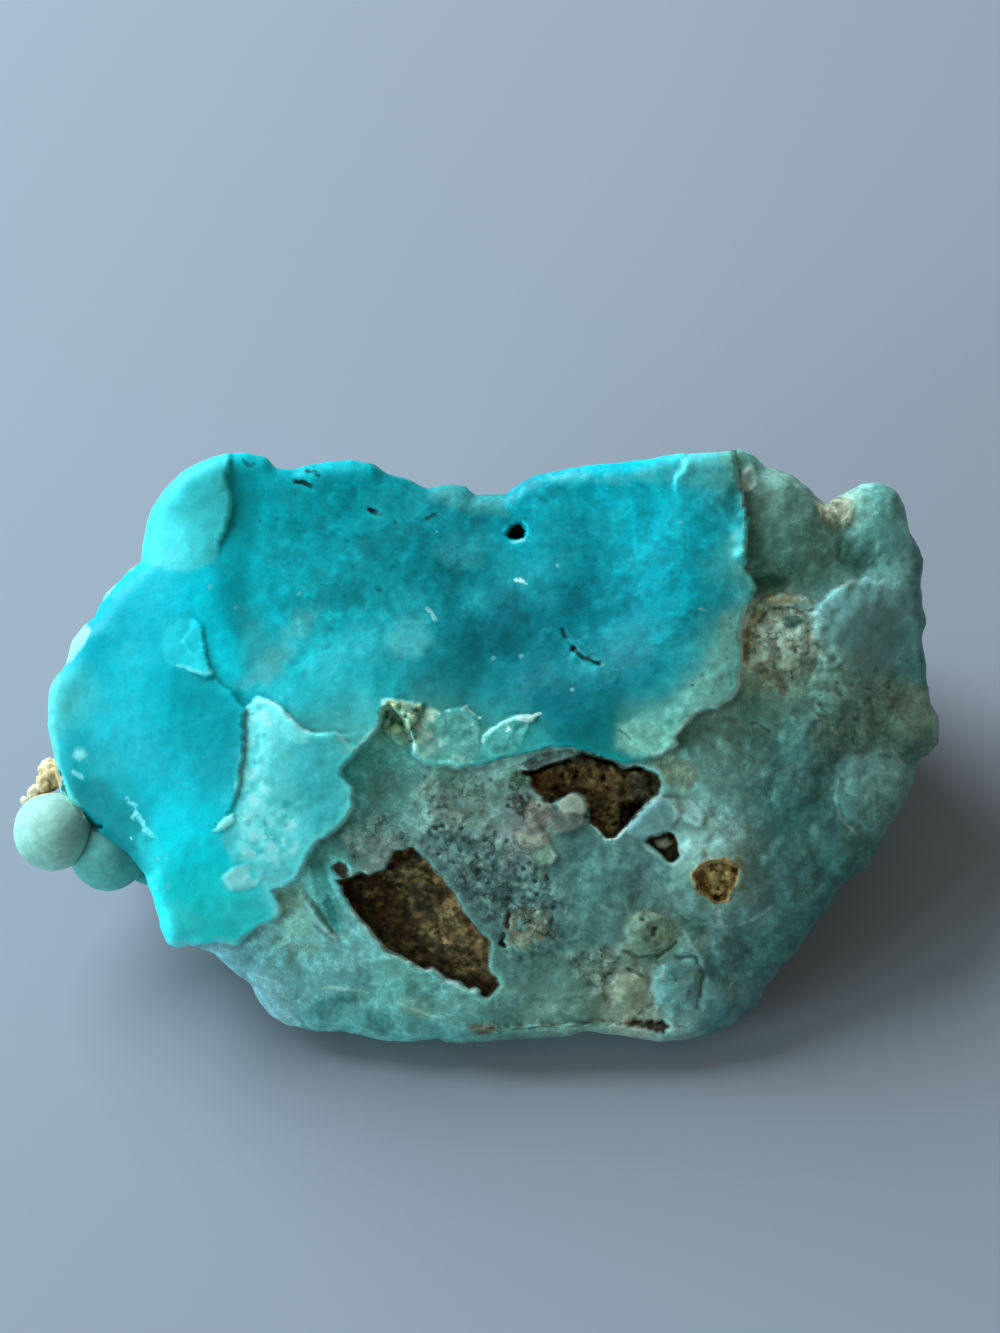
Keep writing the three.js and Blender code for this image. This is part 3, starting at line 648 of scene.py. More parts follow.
# Small things that show on the display side, from the undermost to the uppermost.
MARKS: list[Mark] = [
    # -- left end --
    area([-24.4, -1.9, -22.2, -1.6, -20.6, -3.4, -19.5, -5, -19.3, -7.5, -20.6, -6.4, -22.6, -4.8,
      -24, -3.6], 0x008086, 0.85, 0.8),
    line([-24.9, 4.3, -25.2, 3, -25.2, 1.5, -25, 0, -24.8, -1.5, -24.4, -2.6, -23.8, -3.4], 0.4, 0x6ED6D4,
      0.7, 0.2),
    area([-24.5, 5, -24, 5.2, -23.3, 6.1, -22.8, 7, -23.2, 7.4, -23.8, 6.8, -24.2, 5.8], WHITE, 0.9, 0.1),
    line([-22.2, 8.9, -21.3, 10, -20.4, 10.8], 0.22, WHITE, 0.7, 0.3),
    spots([-23.4, -0.35], 0.45, WHITE, 0.8, 0.3),
    line([-23.9, -1.35, -23.4, -1.65], 0.2, WHITE, 0.85),
    line([-20.8, -2.6, -20.3, -3.6, -19.7, -4.6, -18.9, -5.3], 0.2, 0x78E1E4, 0.7, 0.45, 0.25),
    spots([-21.5, -2.8, -20.4, -3.1, -20.5, -5.1, -18.9, -6.4, -20.3, -3.8], 0.2, WHITE, 0.7, 0.5),
    # painted light: the thin tongue lightened as if lit through
    area([-18.8, -8.8, -17.5, -8.8, -15.8, -10.4, -16.4, -11.5, -18.3, -11.5], 0x4CECF2, 0.6, 0.8, 0.1),
    area([-20.6, -4.6, -19.4, -4.4, -18.2, -6.4, -18.2, -9.4, -19.2, -9], 0x28D6DE, 0.45, 0.6, 0.4),
    strewn([-21.8, -2.2, -20.6, -2.4, -18.4, -5, -18, -8.4, -19.2, -8.4, -20.6, -5], 1.6, 0.2, 0x82E8E8, 41,
      0.7),
    area([-15.6, -8.8, -12.6, -8.8, -12.2, -9.8, -13.8, -11, -15.4, -10.6], 0x3CCECD, 0.5, 0.8, 0.2),
    # pale line along the tongue's lower edge: partly pale edge, partly painted light shining through it
    line([-18.5, -11.3, -17.3, -11.4, -15.6, -11.1, -14.2, -11.3, -13.6, -10.6, -12.2, -9.9, -11.9, -9],
      0.22, 0x82EAEA, 0.6, 0.3),
    # -- upper left lobe, its ledge and the flake below --
    # painted shade on the face right of the upper left ledge
    area([-14.6, 17.2, -14.7, 15.8, -14.4, 14.4, -14.5, 13.4, -15.1, 12.3, -15.5, 11.1, -15.4, 9, -14.8, 7,
      -14, 6.6, -13.4, 10, -12.9, 14, -13.3, 16.8], 0x0098A2, 0.55, 1),
    area([-14.7, 18, -14.8, 17.3, -14.95, 15.8, -14.68, 14.4, -14.8, 13.4, -15.3, 12.3, -15.55, 11.1,
      -17.5, 10.4, -20.5, 11.2, -20, 15, -17, 18.5], 0x4AD3D7, 0.8, 0.1),
    # painted shade in the hollow left of the frosted patch
    area([-16.2, 4.2, -15, 3.6, -14.1, 2.4, -14, 0, -14.4, -2.6, -16, -2.4, -17.6, 1.4, -17.4, 4], 0x0098A2,
      0.5, 1.6),
    area([-18.2, 5, -16.8, 4.5, -15.6, 4.4, -15.9, 5, -16, 5.8, -16.3, 7, -17, 7.6, -17.8, 7.7, -18.6, 7,
      -18.6, 5.6], 0x28D4DE, 0.6, 0.17),
    # pale line along the flake's lower edge: partly frosted edge, partly painted highlight
    line([-17.9, 5, -17.2, 4.75, -16.2, 4.5, -15.8, 4.6], 0.2, 0x78EEF0, 0.7, 0.3),
    # -- the frosted patch --
    area([-14, 2.3, -13, 3.1, -11.5, 2.3, -10.5, 1.1, -8.8, 0.9, -7, 0, -8.2, -1.4, -7.6, -2.4, -7.6, -3.6,
      -9.9, -5.6, -10.7, -7.8, -12.6, -7.6, -13, -6.4, -14.4, -6.6, -15.2, -5.2, -14.3, -3.8, -14.4, -2.4,
      -13.9, 0], 0x62DCDE, 0.85, 0.2, 0, 0.15),
    area([-11, 0.8, -8.8, 0.7, -7.6, -1, -8.2, -2, -8, -4, -9.8, -5, -10.8, -2.5], 0x46CED4, 0.7, 0.7),
    area([-14, 2.3, -13, 3.1, -12, 2.7, -11.9, 1, -12.4, -1.5, -12.6, -3.6, -14.1, -3.9, -14.4, -2.4,
      -13.9, 0], 0x82F0F2, 0.8, 0.3, 0.45),
    area([-13.3, 2.9, -12.2, 2.8, -11.4, 2, -10.6, 1, -9, 0.9, -10.4, 0.2, -12, 1.2], 0x82F0F2, 0.75, 0.2,
      0.4),
    area([-14.2, -3.8, -13, -3, -11.6, -3.7, -10.8, -5, -10.9, -6.5, -11.6, -7.6, -12.8, -6.9, -13.9, -6.4],
      0x8CF8FA, 0.9, 0.5, 0.55),
    spots([-13.2, -5, -12.2, -5.9, -11.2, -4.4, -10.9, -5.7, -11.9, -6.8, -13.6, -4, -13.4, -1.6,
      -13.6, 0.4, -12.9, 1.9, -12.6, -2.4, -13.3, -3.1], 0.5, 0xAAFFFF, 0.9, 0.4),
    spots([-12.9, -6.1, -11.9, -5.1, -12.6, -4.2, -11.4, -3.4], 0.42, 0x14B0B8, 0.7, 0.4),
    strewn(FROST, 1, 0.26, 0x28BAC2, 5, 0.5),
    strewn(FROST, 2, 0.2, 0xA0FFFF, 6),
    strewn(FROST, 0.8, 0.29, 0xB0FFFF, 7, 0.85),
    area([-15.7, -4.8, -15, -4, -14.5, -3.8, -14.4, -4.2, -15, -4.7, -15.5, -4.9], WHITE, 0.9, 0.08),
    area([-15.1, -7.2, -14.5, -6.8, -13.6, -6.7, -12.8, -7.3, -12.8, -8, -13.7, -8.3, -14.7, -8.2,
      -15.1, -7.7], 0xAAFFFF, 0.9, 0.3, 0.3),
    line([-13, -7.2, -12.2, -7.7, -11.2, -7.8], 0.35, 0x7ADCDE, 0.8, 0.3, 0.25),
    # pale line along the patch's top edge: partly white frost, partly painted highlight where the raised
    # edge catches the light
    line([-13.4, 2.9, -12.3, 2.8, -11.3, 2, -10.5, 1.1, -9.5, 1], 0.16, 0xBAFCFA, 0.8, 0.35),
    # -- rims of the shell --
    # pale line along the shell's rim: partly frosted broken edge, partly painted glow of light through the
    # thin edge
    line([-8.3, 0.9, -7.4, -0.3, -8.2, -1.2, -7.6, -2.2, -7.45, -3.3, -8.1, -4.3, -9.6, -5.2, -10.2, -6.3,
      -10.8, -7.5], 0.16, 0xA0E8E4, 0.6, 0.35),
    # pale line along the shell's rim: partly frosted broken edge, partly painted glow of light through the
    # thin edge
    line([-5.2, 2.4, -5.7, 2.5, -6, 1.4, -6.6, 0.8, -7.3, 0], 0.2, 0xB4E8DE, 0.65, 0.3),
    # pale edge of the thin layer under the tongue: partly pale rim, partly painted highlight
    line([-9.8, -9.8, -9.4, -10.3, -8.8, -10.8, -8.4, -11.1], 0.13, 0xD6ECD6, 0.8, 0.1),
    # painted shadow beside the thin layer's edge
    line([-9.7, -10.3, -9.2, -10.8, -8.7, -11.1], 0.12, 0x1E564C, 0.7, 0.2),
    area([15, 3.3, 13, 2.5, 12, 1.8, 11.5, 0.8, 11.3, 0, 10, -0.3, 9, -0.5, 8, 0.1, 8.4, 1.6, 10.5, 2.2,
      12, 3.4, 13.4, 5, 14.2, 8, 15.4, 8, 15.3, 5], 0x8CD6C8, 0.65, 0.8, 0.2, 0.22),
    spots([14.3, 4.2, 14.9, 3.9, 13.7, 3.3, 14.6, 5.4, 13.2, 4.4, 14, 6.4, 14.8, 7.2], 0.13, 0x3C7870, 0.6,
      0.3, -0.06),
    # pale line along the shell's rim: partly frosted broken edge, partly painted glow of light through the
    # thin edge
    line([15.6, 8.4, 15.35, 6.6, 15.4, 5, 15.2, 4.2, 15.35, 3.8, 14.9, 3.1, 14, 2.6, 12.7, 2.3, 12, 1.6,
      11.5, 0.8, 11.6, 0.3, 10.8, -0.1, 10.1, -0.2], 0.16, 0xCCECDC, 0.7, 0.3),
    area([15.6, 13.4, 14.8, 13, 14.4, 12, 14.8, 10.8, 15, 9.4, 14.6, 8.2, 15.7, 8.3, 16.3, 9.6, 15.7, 10.6,
      15.7, 12], 0x6ED6D4, 0.6, 0.42, 0.3),
    # pale line along the shell's rim: partly frosted broken edge, partly painted glow of light through the
    # thin edge
    line([15.35, 15, 15.5, 14, 15.6, 13, 15.65, 12.2, 15.5, 11, 15.6, 10.6, 16.2, 9.6, 15.9, 8.9], 0.14,
      0xA5E2DA, 0.6, 0.3),
    area([4, 16.2, 8, 16.3, 11.5, 17.2, 14.8, 17.3, 14.6, 15.8, 12, 15.6, 9, 16, 5, 15.7], 0x60D6DC, 0.6,
      0.7, 0.4),
    area([14.9, 15.9, 15.5, 15.3, 15.5, 13.6, 14.8, 13.4, 14.3, 14.3, 14.6, 15], 0x00767A, 0.7, 0.35),
    area([14, 17.4, 15.6, 17.7, 16.8, 16.6, 15.6, 15.4, 14.9, 15.8, 14.6, 16.4], 0x68B8AA, 0.75, 0.35, 0,
      0.3),
    # -- crystals and crust under the shell's lower rim --
    area([-5.6, 3, -4.6, 2.9, -3.4, 2.7, -3.9, 1.4, -4.2, 0.2, -4.8, 0.2, -5.6, 1.2], 0x96BEA0, 0.8, 0.25,
      0, 0.8, -1, 0.3),
    area([-5.5, 2.9, -5, 2.9, -4.9, 2.2, -5.4, 2.2], 0x807038, 0.75, 0.1, 0.2),
    spots([-5.4, 2.2, -5.5, 1.9], 0.2, 0x081608, 0.95, 0, -0.15),
    spots([-4.35, 1.9, -4.6, 1.5, -5.1, 1.7, -3.7, 2.35, -4.1, 1.1, -4.05, 0.5, -3.8, 0.7, -4.7, 2.4], 0.2,
      0x244A3E, 0.8, 0.2, -0.1),
    spots([-5, 2.45, -4.55, 1.95, -4.3, 1.4, -4.05, 0.7, -3.9, 2, -4.9, 1.2], 0.36, 0xA4B88E, 0.7, 0.3,
      0.3),
    spots([-4.8, 0.8, -4.5, 1, -5.2, 1.1, -4, 2.1, -3.6, 2.6, -4.6, 2.7], 0.22, 0xC4CEA0, 0.65, 0.3),
    line([-5.75, 2.9, -5.6, 2.4, -5.75, 1.8, -6.1, 1.2, -6.3, 0.9], 0.13, 0xB0E8DE, 0.8, 0.1),
    area([-4.1, 0.05, -3.9, 0.6, -3.8, 1.5, -3.5, 2.2, -2.9, 2.5, -2.2, 2, -1, 2.3, -0.1, 1.6, 0, 0.2,
      -0.4, -0.8, -2, -0.9, -3.4, -0.6], 0x6CB6AC, 0.8, 0.15, 0, 0.35),
    area([-4, 0.1, -3.8, 0.7, -3.7, 1.5, -3.4, 2.3, -2.9, 2.5, -2.4, 2.1, -2.8, 1.4, -2.7, 0.9, -2, 0.4,
      -2.4, 0, -3.3, -0.5], 0xB0DEC8, 0.75, 0.25, 0.35),
    spots([-3.1, 1, -3.6, 1.4, -2.9, 1.9, -3.4, 0.4, -2.5, 0.4, -2.8, 0.7], 0.28, 0xE0F2DE, 0.7, 0.35),
    area([-2, 0.6, -2, 1.7, -1.2, 2.1, -0.6, 1.6, -0.5, 0.7, -1.2, 0.3], 0x54A69A, 0.6, 0.2),
    line([-2.4, 2.1, -1.8, 2.3, -1.2, 2.35, -0.8, 2.45, -0.4, 2.15, -0.1, 1.8], 0.13, 0xC4F0E6, 0.75, 0.2),
    spots([-0.8, 2.45, 0, 1.9, -0.4, 1.5], 0.17, 0xD6FAF4, 0.85, 0.1),
    area([-1.9, -0.6, -1.4, -1, -0.9, -0.8, -0.9, -0.4, -1.6, -0.3], 0x9ED8C8, 0.7, 0.1, 0.2),
    area([0, -0.3, 0.2, 0.8, 0.6, 1.2, 1.3, 1.5, 2.2, 1.9, 3.3, 2.1, 2.9, 1.4, 2.6, 0.7, 2.4, 0.1,
      1.6, -0.4], 0x60BAB4, 0.75, 0.12, 0.1, 0.3),
    line([0.1, 0.1, 0.2, 0.8, 0.6, 1.2, 1.3, 1.5, 2.2, 1.9, 3.6, 2.15], 0.13, 0xB0E8E2, 0.8, 0.15),
    area([2.1, 1.85, 2.8, 2, 3.6, 2.2, 3.3, 1.8, 2.8, 1.65, 2.4, 1.7], 0xD6FAF6, 0.9, 0.08),
    spots([1.75, 1.2, 1.6, 1.05], 0.16, 0xDCFAF6, 0.85, 0.1),
    area([-3, -1, -1.6, -1.1, -0.6, -1, -1, -2.4, -2.4, -2.6, -3.2, -2.2], 0x769E8E, 0.6, 0.35, 0.2, 0.7),
    area([8, 1.6, 8.3, 0.2, 9, -0.6, 10.8, -0.2, 11.4, 0.6, 10.6, 1.4, 9.2, 1.8], 0x80BEAA, 0.55, 0.42, 0,
      0.3),
    line([8.3, 1.1, 8.7, 0.9, 8.9, 0.5], 0.11, 0x324A2C, 0.75, 0.2, 0.2, -0.08),
    area([10.2, -0.5, 11.2, -0.3, 12.2, -0.5, 12.9, -1.1, 12.7, -2, 11.8, -2.3, 11.1, -1.8, 10.8, -1.2],
      0xA0AC8E, 0.7, 0.35, 0, 0.5),
    # -- textures of the ground below the shell --
    area([-8, -4.6, -6, -3.4, -3.5, -4.6, 0, -4.2, 2, -5, 4, -6.6, 5.5, -9.6, 5, -12, 2.2, -12.4,
      -0.4, -9.2, -2.6, -6.4, -4, -5.4, -6, -6.6], None, 1, 1, 0, 0.8),
    area([-4, -1, 2, -1.2, 1.6, -4, -3, -4], None, 1, 0.8, 0, 0.5),
    area([-8, -4.8, -6.4, -5.2, -4.6, -4.8, -5.4, -6.4, -7.4, -6.8], 0x92A298, 0.6, 0.35, 0.3, 0.7),
    area([-4.4, -2.4, -3, -1.6, 0.6, -2, 0.8, -4, -1, -4.8, -3.4, -4.2], 0x8AA08E, 0.5, 0.8, 0.5, 0.8),
    area(RIGHT_CRUST, 0x709888, 0.4, 1.2, 0.4, 0.5),
    area([16.4, -5.4, 19.6, -5.8, 20.4, -8, 18.6, -10, 16.2, -9.4], 0x60948A, 0.4, 0.8, 0.3, 0.35),
    area([5, -12, 8, -11.4, 8, -13.2, 7.4, -15, 5.8, -13.4], 0x808E7A, 0.6, 0.42, 0.2, 0.9),
    strewn(GRANULAR, 1.6, 0.21, 0x1E3834, 21, 0.7, -0.08),
    strewn(GRANULAR, 1.8, 0.22, 0x96B6AC, 22, 0.7, 0.05),
    strewn(GRANULAR, 0.5, 0.28, 0x8EB2A8, 23, 0.7, 0.08),
    strewn(PALE_GROUND, 1.5, 0.22, 0xAABEAC, 24, 0.6),
    strewn(PALE_GROUND, 1.2, 0.2, 0x46645A, 25, 0.6),
    strewn(RIGHT_CRUST, 1.1, 0.21, 0x9CBAA6, 26, 0.6),
    strewn(RIGHT_CRUST, 1.1, 0.2, 0x2C4E44, 27, 0.6),
    strewn(LOWER_BAND, 1.1, 0.2, 0x3C5C4E, 28, 0.6),
    strewn(LOWER_BAND, 1.3, 0.22, 0xB8CAB4, 29, 0.6),
    # -- veins and swirls of the lower left --
    line([-9.2, -14.05, -8.6, -13.9, -7.6, -14.2, -6.6, -14.3], 0.14, 0xB8DED2, 0.7, 0.35, 0.3),
    line([-7.3, -14.5, -7.1, -15, -7.5, -15.4, -7.7, -15.6], 0.17, 0x96CEB8, 0.7, 0.35, 0.25),
    line([-5, -14.8, -4, -15.2, -3.2, -15.4, -2.4, -15.8], 0.13, 0xCEECDE, 0.75, 0.35, 0.25),
    area([-5, -14.6, -3.6, -14.5, -2.6, -15.2, -3.4, -15.9, -4.4, -15.4], 0x96CCB6, 0.55, 0.2, 0.5),
    area([-12.8, -11.2, -11, -10.6, -9.8, -11.2, -9, -11.6, -9.6, -12.2, -11.4, -11.8], 0x96BEA0, 0.5, 0.42,
      0.5, 0.6),
    area([-9.6, -14.6, -7.6, -14.6, -7.9, -15.7, -9.2, -15.9, -10, -15.3], 0x307676, 0.6, 0.42, 0.1),
    area([-6.8, -15.2, -5.4, -15.2, -5.1, -16.3, -5.6, -16.7, -6.6, -16.3], 0x367C7A, 0.55, 0.35, 0.1),
    area([-11.9, -8.6, -10.7, -8, -10.2, -9.4, -9.6, -11, -10.6, -11.4, -11.8, -10.3], 0x9ECEBA, 0.7, 0.42,
      0.15, 0.3),
    area([-10.2, -6.6, -9.6, -6, -9, -7.4, -8.2, -9, -7.9, -10.8, -8.6, -10.8, -9.6, -9.4], 0x54A698, 0.7,
      0.2),
    area([-9.3, -9, -8.9, -8.4, -8.5, -9.4, -8.3, -10.6, -8.8, -10.2], 0x147676, 0.75, 0.1),
    area([-0.9, -16.5, -0.4, -16.2, 0.8, -16.2, 1.2, -16.5, 0.4, -16.8, -0.6, -16.8], 0x70543A, 0.75, 0.12,
      0.3, 0.6, 0.6),
    line([0, -16.35, 2.5, -16.4, 5, -16.3, 6.2, -16.1, 8.4, -16.15], 0.11, 0x1A3A32, 0.7, 0.2, 0.1, -0.1),
    area([8.2, -16.2, 8.9, -16, 10, -15.9, 10.9, -15.9, 11.2, -16.2, 10.8, -16.7, 10.2, -16.5, 9.2, -16.35],
      0x423622, 0.9, 0.08, 0, 0.8, 0.8, -0.35),
    spots([10.3, -16.3, 10.7, -16.1], 0.17, 0xBEA070, 0.8),
    # -- the large pocket --
    strewn(LARGE_POCKET, 2.2, 0.2, 0x967646, 31, 0.6, 0.05),
    strewn(LARGE_POCKET, 1.8, 0.22, 0x221A12, 32, 0.6, -0.08),
    area([-6.8, -8, -5, -7, -3.8, -7.4, -3.4, -9.6, -2.8, -12.2, -4.8, -11.6, -6.8, -9.8], 0x3A2E20, 0.5,
      1.2, 0.3),
    # pale lower rim of the large pocket: partly translucent rim, partly painted highlight where it catches
    # the light
    line([-7.6, -9.4, -7, -10.1, -6.4, -10.8, -5.7, -11.6, -5.1, -12, -4.1, -12.5, -3.2, -12.95,
      -2.8, -12.8, -2, -13.45, -1.2, -13.95, -0.6, -14.2, 0, -14.2], 0.19, 0xC4FAF0, 1),
    area([-8.7, -6.9, -8.2, -6.5, -7.8, -6.8, -7.6, -7.5, -8.1, -7.6], 0x502E22, 0.9, 0.12, 0, 0.6, 0.8,
      -0.4),
    line([-7.7, -7.4, -7.2, -7.1, -6.2, -6.8, -5.2, -6.5], 0.24, 0x7E867A, 0.6, 0.4, 0.2),
    line([-2.4, -7.7, -1.5, -9, -1, -10, -0.3, -10.9, 0.1, -12.2], 0.4, 0xA47E54, 0.6, 0.5, 0.2),
    spots([0.6, -14, 0.2, -13.4, -0.4, -12.2, -1.6, -11], 0.3, 0x765838, 0.7, 0.3),
    area([1.5, -10, 2, -9.4, 3, -9.3, 3.9, -9.6, 4.1, -10.6, 3.4, -11.5, 2.2, -11.7, 1.5, -11.2], 0x787054,
      0.7, 0.42, 0.45, 1, 0.4),
    spots([2.1, -10.8, 3, -10, 3.4, -11], 0.3, 0x8C7048, 0.6, 0.4),
    line([1.75, -9.8, 1.6, -10.4], 0.17, 0x181E14, 0.9, 0, 0.15, -0.3),
    line([1.35, -10.8, 1.2, -11.3, 1.5, -11.5], 0.17, 0x181E14, 0.9, 0, 0.15, -0.3),
    # -- the upper pocket and the crystals round it --
    strewn(UPPER_POCKET, 4, 0.22, 0x926C40, 33, 0.6, 0.05),
    strewn(UPPER_POCKET, 3, 0.21, 0x24160E, 36, 0.75, -0.1),
    area([2.2, -0.9, 3.4, -0.2, 5, 0, 6.4, -0.2, 5.4, -0.6, 4.4, -0.9, 3.2, -1.2], 0x686E68, 0.85, 0.12, 0,
      0.8),
    line([2.6, -1.35, 3, -1.45, 3.4, -1.2, 4.2, -1, 4.8, -0.75, 5.4, -0.7], 0.16, 0x080C0A, 0.9, 0, 0.2,
      -0.4),
    line([6.1, -0.3, 7, -0.6, 7.8, -0.85, 8.4, -1.15, 9.5, -1.2], 0.2, 0x080E0C, 0.9, 0, 0.2, -0.3),
    area([3.2, -1.5, 5, -1.2, 7, -1, 7.4, -2, 6.4, -2.6, 5, -2.4, 3.8, -2.6, 3.2, -2.2], 0x684A2A, 0.7, 0.2,
      0.3),
    area([2.9, -1.5, 3.6, -1.5, 3.6, -2.2, 3, -2.2], 0x623C2C, 0.8, 0.15),
    spots([6.2, -2.5, 5.8, -1.3, 4.4, -2.3, 7.2, -1.6, 4.8, -1.6, 3.8, -2.9, 4.3, -2.95, 6.3, -3.9,
      7.5, -4.9], 0.24, 0x160E08, 0.85, 0.2, -0.2),
    spots([6.5, -2.1, 5.2, -1.9, 3.5, -2.5, 6.8, -2.4, 7.4, -3.6, 7, -4.3, 4, -1.5, 8, -4.2, 7.9, -1.5],
      0.26, 0x987442, 0.8, 0.4),
    spots([8.2, -1.75, 7.9, -2.2, 8.1, -2.8, 3.7, -2.7], 0.25, 0x968674, 0.75, 0.3),
    area([8.8, -1.5, 9.8, -1.3, 10.7, -1.5, 10.7, -2.4, 9.9, -2.8, 8.7, -2.7], 0x605244, 0.85, 0.15, 0.2),
    spots([9.7, -1.5, 10.3, -2], 0.35, 0x684432, 0.6, 0.3),
    # painted shadow, nearly black, in the upper pocket's lower right, over its sunk floor
    area([8.3, -3, 9.7, -2.9, 9.5, -3.5, 8.9, -4.2, 8.2, -4.7, 8.2, -3.8], 0x0C0806, 0.95, 0.25, 0, 0.2, 1,
      -0.5),
    area([1.7, -1.4, 2.4, -1.2, 3, -1.6, 3, -2.3, 2.2, -2.5, 1.7, -2.2], 0x607A58, 0.8, 0.15, 0.1, 0.9),
    area([1.6, -2.6, 2.8, -2.4, 3, -3.2, 2.6, -4, 1.8, -3.5], 0x6A605A, 0.85, 0.15, 0.1, 0.9),
    spots([1.7, -2.85, 1.75, -3.3, 2.45, -2.8, 3.5, -3.3], 0.17, 0x12100E, 0.85, 0.2, -0.1),
    area([2.9, -3, 4.3, -3.1, 4.3, -4, 3.8, -4.8, 2.8, -4.6, 2.6, -3.8], 0x989284, 0.8, 0.15, 0.1, 0.7),
    spots([3.7, -3.9, 3.4, -4.3, 2.8, -4.1], 0.2, 0xBEB2A4, 0.7, 0.3),
    area([4.5, -3.1, 5.5, -2.5, 6.2, -2.9, 6.5, -3.3, 6, -3.8, 5, -3.7], 0xB0BAA8, 0.95, 0.08, 0, 0.25),
    area([4.5, -3.3, 5, -3.7, 6, -3.7, 6.3, -4.3, 5.4, -4.8, 4.4, -5, 4, -4.5], 0x768076, 0.9, 0.1, 0, 0.5),
    area([2, -4.8, 3, -5, 4, -4.9, 4.1, -5.5, 3.3, -5.9, 2.4, -5.7], 0xA0A48E, 0.85, 0.12, 0.1, 0.6),
    area([3.1, -6, 4.1, -5.6, 4.6, -6.2, 4.3, -6.8, 3.5, -6.9, 3, -6.5], 0x7E9E88, 0.8, 0.12, 0.1, 0.5),
    line([4.2, -5.9, 4.5, -6.3, 4.2, -6.7], 0.12, 0xB4CCBC, 0.7, 0.2),
    area([9, -4, 9.8, -3.2, 10.6, -2.85, 11.3, -2.9, 11.5, -3.8, 11.2, -4.8, 10, -5, 9, -5.2, 8.5, -4.8],
      0x8AB8B8, 0.95, 0.1, 0, 0.2),
    line([10.7, -2.7, 9.9, -3.1, 9.4, -3.6, 8.9, -4.2, 8.4, -4.85, 7.9, -5.25, 7.4, -5.3, 7, -4.8,
      6.6, -4.4], 0.13, 0xE2FCF6, 0.95, 0.1),
    area([11.4, -3, 12.3, -2.8, 12.8, -3.4, 13.3, -4, 13, -4.4, 12.4, -4.2, 11.8, -3.7], 0xBCF0EE, 0.95,
      0.1, 0.1, 0.2),
    # -- the small cavity and the tan pocket --
    area([10.3, -5.3, 11, -5.1, 11.4, -5.5, 10.9, -5.9, 10.4, -5.8], 0xA09E8E, 0.85, 0.08, 0.1, 0.5, -1,
      0.5),
    spots([11.1, -6.1, 10.9, -6.4], 0.28, 0x5A6238, 0.8),
    line([9.6, -5.6, 10.2, -6, 10.7, -6.6, 11.3, -6.8, 11.9, -6.5, 11.9, -5.7, 11.6, -5.1], 0.13, 0xB0CEC4,
      0.7, 0.2, 0.15),
    area([11.4, -6.8, 12.4, -6, 14.4, -5.8, 16, -6.6, 16, -8.4, 14.8, -9.8, 13, -9.6, 11.8, -8.4], 0x86B0A0,
      0.6, 0.7, 0.2, 0.35),
    area([12.3, -7.5, 12.9, -6.7, 13.6, -6.3, 14.4, -6.4, 15.3, -6.8, 15.2, -7.7, 14.7, -8.9, 13.8, -9.2,
      12.7, -8.4], 0x9E8450, 0.95, 0.15, 0, 1, 1),
    line([13.4, -6.1, 14.4, -6.1, 15.3, -6.5, 15.6, -7.2, 15.4, -7.9], 0.24, 0x989454, 0.7, 0.35, 0.2),
    spots([13.7, -7, 13.3, -7.3, 13.4, -8.3, 13.9, -8.8, 14.6, -7.8, 13, -7.8, 14.2, -7.4, 14.9, -7.1,
      13.6, -7.9], 0.2, 0x3E2412, 0.8, 0.2, -0.2),
    spots([14.2, -6.8, 13.9, -7.6, 14.4, -8.3, 13.2, -6.9], 0.18, 0xCEB67C, 0.7, 0.3),
    strewn(TAN_POCKET, 8, 0.2, 0xD8BA78, 34, 0.8, 0.1),
    strewn(TAN_POCKET, 8, 0.2, 0x422A14, 35, 0.8, -0.12),
    line([13.9, -9.3, 14, -9.8, 14.2, -10.3], 0.28, 0xB0CECA, 0.6, 0.3, 0.15),
    # -- right side --
    # painted shade on the edge face at the right, which turns away from the light
    area([25.5, 12.5, 26.2, 12, 26.2, 9, 26.4, 6, 26.5, 3, 26, 3.4, 25.6, 7, 25.5, 10], 0x285C5A, 0.6,
      0.35),
    area([20.4, 8.4, 21.6, 9.6, 23.6, 9.6, 25, 8.2, 25, 6, 23.6, 4.6, 21.4, 5, 20.3, 6.6], 0x62928E, 0.5, 1,
      0, 0.12),
    area([22, 15.4, 24.6, 15.8, 25.2, 14, 24, 12.2, 22.4, 12.6, 21.9, 14], 0x548C84, 0.6, 0.9),
    # painted shade in the crease between the lumps at the top right
    area([21.6, 13, 22.2, 12, 23.4, 10.6, 21.8, 10.4, 20.9, 11.6, 21.2, 12.8], 0x34685A, 0.6, 0.42),
    area([19.8, 14.5, 20.4, 14.7, 20.9, 14.9, 21.7, 14.7, 21.9, 13.8, 21.6, 13, 20.9, 13.2, 20.2, 13.8],
      0xBCBE9E, 0.75, 0.32, 0.35, 0.8),
    spots([20.3, 14.1, 21, 13.5, 20.7, 14.2], 0.24, 0x7E6038, 0.65, 0.4),
    area([15.2, 15.6, 15.4, 16.4, 16, 16.8, 16.4, 16.2, 16.3, 15.6, 15.8, 15.1], 0xC8F0E6, 0.9, 0.15, 0.2,
      0.4),
    # painted shade in the crevice right of the shell's edge
    area([16.1, 10.2, 17, 10.4, 18, 10.1, 18.1, 9.6, 17.4, 9.3, 16.2, 9], 0x285E50, 0.6, 0.5, 0.2, 0.4, 0.2,
      -0.1),
    area(CRUST_RING, 0x8CA48E, 0.6, 1.1, 0.15, 0.8),
    line([15.7, 5.6, 15.8, 7, 16.3, 8.2, 17.2, 8.9, 18.4, 9, 19.4, 8.7], 0.3, 0xA29464, 0.8, 0.4, 0.25,
      0.06),
    line([16.6, 7.9, 17.3, 8.4, 18.2, 8.5, 19.2, 8.2, 19.8, 8.3], 0.14, 0x48543E, 0.8, 0.3, 0.2, -0.06),
